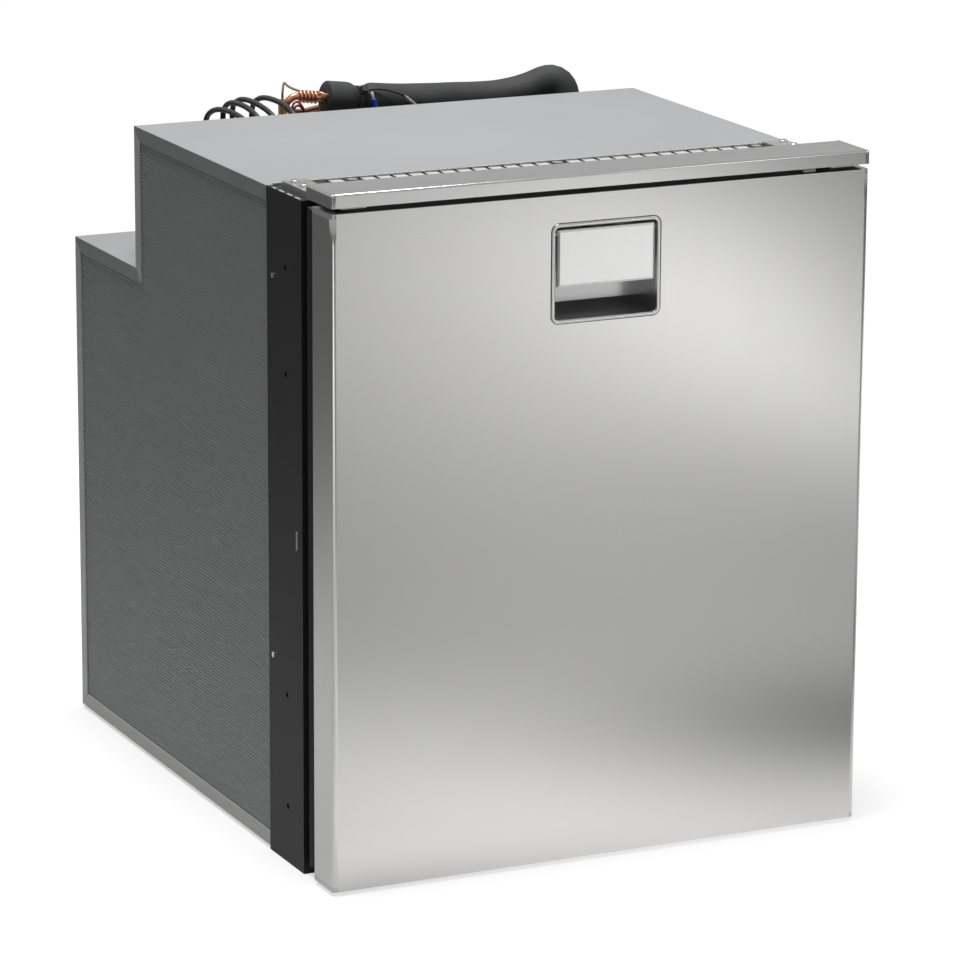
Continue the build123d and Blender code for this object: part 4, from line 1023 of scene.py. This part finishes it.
# How the turns differ: share of the size, sway to the side in millimetres, and how fast both go
size_change = 0.06
size_pace = 1.7
side_sway = 2.0
sway_pace = 0.6
# How much lower each turn hangs than the one before, and the turn at which the rise holds
hank_droop = 2.3
droop_middle = 1.3


def drawn_out(part):
    # Flattens a turn's sides, so it runs straight for longer
    return math.copysign(abs(part) ** hank_squareness, part)


def hank_points():
    # Loose turns that differ a little in size and lean, from the bottom of the first turn
    points = []
    for i in range(hank_turns * points_a_turn + 1):
        turn = i / points_a_turn
        angle = math.tau * turn
        size = 1.0 + size_change * math.sin(size_pace * angle)
        x = hank_right - hank_pitch * turn + side_sway * math.sin(sway_pace * angle)
        x -= hank_lean * math.sin(angle)
        reach = hank_half_length * size * drawn_out(math.sin(angle))
        back = hank_back + reach
        up = hank_rise - hank_half_height * size * drawn_out(math.cos(angle)) + hank_tilt * reach
        up += hank_droop * (droop_middle - turn)
        points.append(on_step(x, back, up))
    return points


def make_cable():
    # From the rear panel through the turns and down to the control box
    lead_in = [on_step(-76.0, 0.0, 60.0), on_step(-76.0, 12.0, 60.5), on_step(-75.5, 28.0, 64.5)]
    lead_out = [
        on_step(-128.0, 62.0, 65.0), on_step(-136.0, 84.0, 60.0), on_step(-150.0, 89.0, 46.0),
        on_step(-164.0, 86.0, 34.0), on_step(-170.0, 74.0, 32.0), on_step(-170.0, 62.0, 32.0),
    ]
    cable = cord_curve(
        "coiled_cable", lead_in + hank_points() + lead_out, cable_width * MM,
        finishes["cable_rubber"], "cabinet", ["cable_hank", "cable_leads"],
    )


wire_width = 2.0
wire_gap = 0.3
wire_route = [
    (-34.3, 75.0, 52.0), (-44.0, 73.0, 54.0), (-50.0, 49.0, 78.0), (-53.0, 40.0, 100.0),
    (-62.0, 39.0, 116.0), (-69.5, 38.0, 110.0), (-66.0, 37.0, 80.0), (-65.0, 32.0, 47.0),
    (-104.0, 28.0, 42.0), (-133.0, 27.0, 41.0), (-145.0, 27.0, 41.0),
]


def make_wires():
    # A black and a red one, side by side over the pipe and down to the control box
    shift = wire_width / 2 + wire_gap
    for name, way, finish in (("black_wire", -1, "wire_plastic"), ("red_wire", 1, "red_wire")):
        points = [on_step(x, back + way * shift, up + way * shift) for x, back, up in wire_route]
        wire = cord_curve(
            name, points, wire_width * MM, finishes[finish], "cabinet",
            ["signal_wires"],
        )


turning_steps = 24
terminal_foot = on_step(4.5, 34.0, 102.0)
terminal_way = Vector((-0.25, 0.05, 1.0))
# Radius and height of the insulated sleeve, its flare and the pin that stands out of it
sleeve_profile = (
    (0.0, 0.0), (2.6, 0.0), (2.7, 1.5), (2.2, 4.5), (2.1, 12.0), (1.2, 12.6), (0.0, 12.6),
)
pin_profile = ((0.0, 12.0), (1.2, 12.0), (1.3, 13.0), (1.3, 17.4), (0.9, 18.0), (0.0, 18.0))


def make_turned(name, profile, foot, way, material):
    # Profile of radius and height, in millimetres, spun round the way that the piece points
    bm = bmesh.new()
    verts = [bm.verts.new((radius * MM, 0.0, height * MM)) for radius, height in profile]
    edges = [bm.edges.new(pair) for pair in zip(verts, verts[1:])]
    bmesh.ops.spin(
        bm, geom=verts + edges, cent=(0, 0, 0), axis=(0, 0, 1), angle=math.tau,
        steps=turning_steps, use_merge=True,
    )
    bmesh.ops.remove_doubles(bm, verts=bm.verts, dist=merge_distance)
    bmesh.ops.recalc_face_normals(bm, faces=bm.faces[:])
    turn = way.to_track_quat("Z", "Y").to_matrix()
    bmesh.ops.rotate(bm, verts=bm.verts, matrix=turn)
    bmesh.ops.translate(bm, verts=bm.verts, vec=foot)
    finish_piece(name, bm, material, "cabinet")


def make_terminal():
    make_turned(
        "crimp_sleeve", sleeve_profile, terminal_foot, terminal_way, finishes["blue_sleeve"],
    )
    make_turned(
        "crimp_pin", pin_profile, terminal_foot, terminal_way, finishes["white_plastic"],
    )


# Studio: floor, world, lamps and camera

white = (1.0, 1.0, 1.0, 1.0)


def ray_level(tree, kind, level):
    # How bright a surface of the studio is for one kind of ray
    rays = tree.nodes.new("ShaderNodeLightPath")
    scaled = tree.nodes.new("ShaderNodeMath")
    scaled.operation = "MULTIPLY"
    scaled.inputs[1].default_value = level
    tree.links.new(rays.outputs[kind], scaled.inputs[0])
    return scaled.outputs[0]


def combined(tree, operation, first, second):
    # Each of the two is a number or another node's output
    both = tree.nodes.new("ShaderNodeMath")
    both.operation = operation
    for socket, value in zip(both.inputs, (first, second)):
        if isinstance(value, float):
            socket.default_value = value
        else:
            tree.links.new(value, socket)
    return both.outputs[0]


def light_pool(tree, spot, turn, half_sizes, level):
    # Soft oval of light on the floor, or of shade where the level is below zero
    coordinates = tree.nodes.new("ShaderNodeTexCoord")
    mapping = tree.nodes.new("ShaderNodeMapping")
    mapping.vector_type = "TEXTURE"
    mapping.inputs["Location"].default_value = (*spot, 0.0)
    mapping.inputs["Rotation"].default_value = (0.0, 0.0, math.radians(turn))
    mapping.inputs["Scale"].default_value = (*half_sizes, 1.0)
    fall = tree.nodes.new("ShaderNodeTexGradient")
    fall.gradient_type = "SPHERICAL"
    soft = tree.nodes.new("ShaderNodeMapRange")
    soft.interpolation_type = "SMOOTHSTEP"
    soft.inputs["To Max"].default_value = level
    tree.links.new(coordinates.outputs["Object"], mapping.inputs["Vector"])
    tree.links.new(mapping.outputs["Vector"], fall.inputs["Vector"])
    tree.links.new(fall.outputs["Fac"], soft.inputs["Value"])
    return soft.outputs["Result"]


floor_half = 15.0
floor_tone = (0.68, 0.68, 0.68, 1.0)
floor_roughness = 0.9
# How bright the floor looks, the soft shade under the part, and how bright it is in reflections
floor_seen = 0.97
floor_dimming = ((0.0, 0.1), 0.0, (1.6, 1.3), -0.45)
floor_mirrored = 0.08
# Where each pool of light lies that reflections show, its turn, half sizes and level
floor_pools = (
    ((0.52, 0.50), 58.7, (1.90, 0.51), 1.1),
    ((0.85, -2.44), 18.6, (0.74, 2.49), 0.82),
    ((1.04, -2.08), 103.0, (1.30, 0.20), 2.62),
    ((-1.25, -2.0), -30.0, (0.8, 1.9), 2.4),
    ((1.5, -0.1), 0.0, (1.1, 0.8), 1.6),
    ((0.34, -0.47), 0.0, (0.42, 0.26), -0.42),
    ((1.10, -1.75), 0.0, (0.22, 0.30), -0.80),
    ((0.66, -1.62), 0.0, (0.18, 0.25), 0.35),
    ((-0.22, -0.34), 0.0, (0.28, 0.08), 0.16),
)


def make_floor():
    bm = bmesh.new()
    bmesh.ops.create_grid(bm, x_segments=1, y_segments=1, size=floor_half)
    mesh = bpy.data.meshes.new("floor")
    bm.to_mesh(mesh)
    bm.free()
    floor = bpy.data.objects.new("floor", mesh)
    bpy.context.scene.collection.objects.link(floor)
    material, tree, shader = new_material("pale_floor", floor_roughness)
    shader.inputs["Base Color"].default_value = floor_tone
    shader.inputs["Specular IOR Level"].default_value = 0.0
    shader.inputs["Emission Color"].default_value = white
    pools = floor_mirrored
    for spot, turn, half_sizes, level in floor_pools:
        pools = combined(tree, "ADD", light_pool(tree, spot, turn, half_sizes, level), pools)
    mirrored = combined(tree, "MULTIPLY", ray_level(tree, "Is Glossy Ray", 1.0), pools)
    looked_at = combined(
        tree, "ADD", ray_level(tree, "Is Camera Ray", 1.0),
        ray_level(tree, "Is Transmission Ray", 1.0),
    )
    dimmed = combined(tree, "ADD", light_pool(tree, *floor_dimming), floor_seen)
    seen = combined(tree, "MULTIPLY", looked_at, dimmed)
    tree.links.new(combined(tree, "ADD", seen, mirrored), shader.inputs["Emission Strength"])
    dress(floor, material)


world_seen = 1.0
world_mirrored = 0.5
world_ambient = 0.06


def make_world():
    world = bpy.data.worlds.new("studio")
    bpy.context.scene.world = world
    world.use_nodes = True
    tree = world.node_tree
    backdrop = tree.nodes["Background"]
    seen = combined(
        tree, "MAXIMUM", ray_level(tree, "Is Camera Ray", world_seen),
        ray_level(tree, "Is Transmission Ray", world_seen),
    )
    bright = combined(tree, "MAXIMUM", seen, ray_level(tree, "Is Glossy Ray", world_mirrored))
    strength = combined(tree, "MAXIMUM", bright, world_ambient)
    tree.links.new(strength, backdrop.inputs["Strength"])
    backdrop.inputs["Color"].default_value = white


def add_lamp(name, spot, aim, width, height, power, spread_angle=180.0):
    light = bpy.data.lights.new(name, "AREA")
    light.spread = math.radians(spread_angle)
    light.shape = "RECTANGLE"
    light.size = width
    light.size_y = height
    light.energy = power
    lamp = bpy.data.objects.new(name, light)
    lamp.location = spot
    lamp.rotation_mode = "QUATERNION"
    lamp.rotation_quaternion = (Vector(aim) - Vector(spot)).to_track_quat("-Z", "Y")
    bpy.context.scene.collection.objects.link(lamp)


lamp_aim = (0.0, 0.0, 0.3)


def make_lamps():
    add_lamp(
        "overhead_softbox", (-0.15, 0.0, 3.0), lamp_aim, width=1.2, height=1.2, power=8.2,
        spread_angle=52.0,
    )
    add_lamp("front_softbox", (2.2, -2.6, 2.0), lamp_aim, width=1.2, height=1.4, power=8.0)


# Place in metres, angles in degrees, lens and sensor in millimetres
camera_place = (-1.5756, -3.4000, 1.1934)
camera_pitch = 14.359
camera_roll = 0.278
camera_yaw = 25.168
camera_lens = 182.86
camera_sensor = 36.0


def make_camera():
    # The view turns round the upright axis by the yaw, then by the pitch and the roll
    data = bpy.data.cameras.new("camera")
    data.sensor_width = camera_sensor
    data.lens = camera_lens
    camera = bpy.data.objects.new("camera", data)
    bpy.context.scene.collection.objects.link(camera)
    level = Matrix(((1, 0, 0), (0, 0, -1), (0, 1, 0)))
    view = (
        Matrix.Rotation(math.radians(camera_roll), 3, "Z")
        @ Matrix.Rotation(math.radians(camera_pitch), 3, "X")
        @ level
        @ Matrix.Rotation(math.radians(camera_yaw), 3, "Z")
    )
    turn = view.transposed() @ Matrix.Diagonal((1.0, -1.0, -1.0))
    camera.matrix_world = Matrix.Translation(camera_place) @ turn.to_4x4()
    bpy.context.scene.camera = camera


make_side_panels()
make_front_skin()
make_bezel()
make_flap_plate()
make_gasket()
make_painted_shade_strip()
make_top_hem()
make_trim_sheet()
make_trim_caps()
make_sleeves()
make_cable()
make_wires()
make_terminal()
make_floor()
make_world()
make_lamps()
make_camera()
bpy.context.scene.view_settings.view_transform = "Standard"
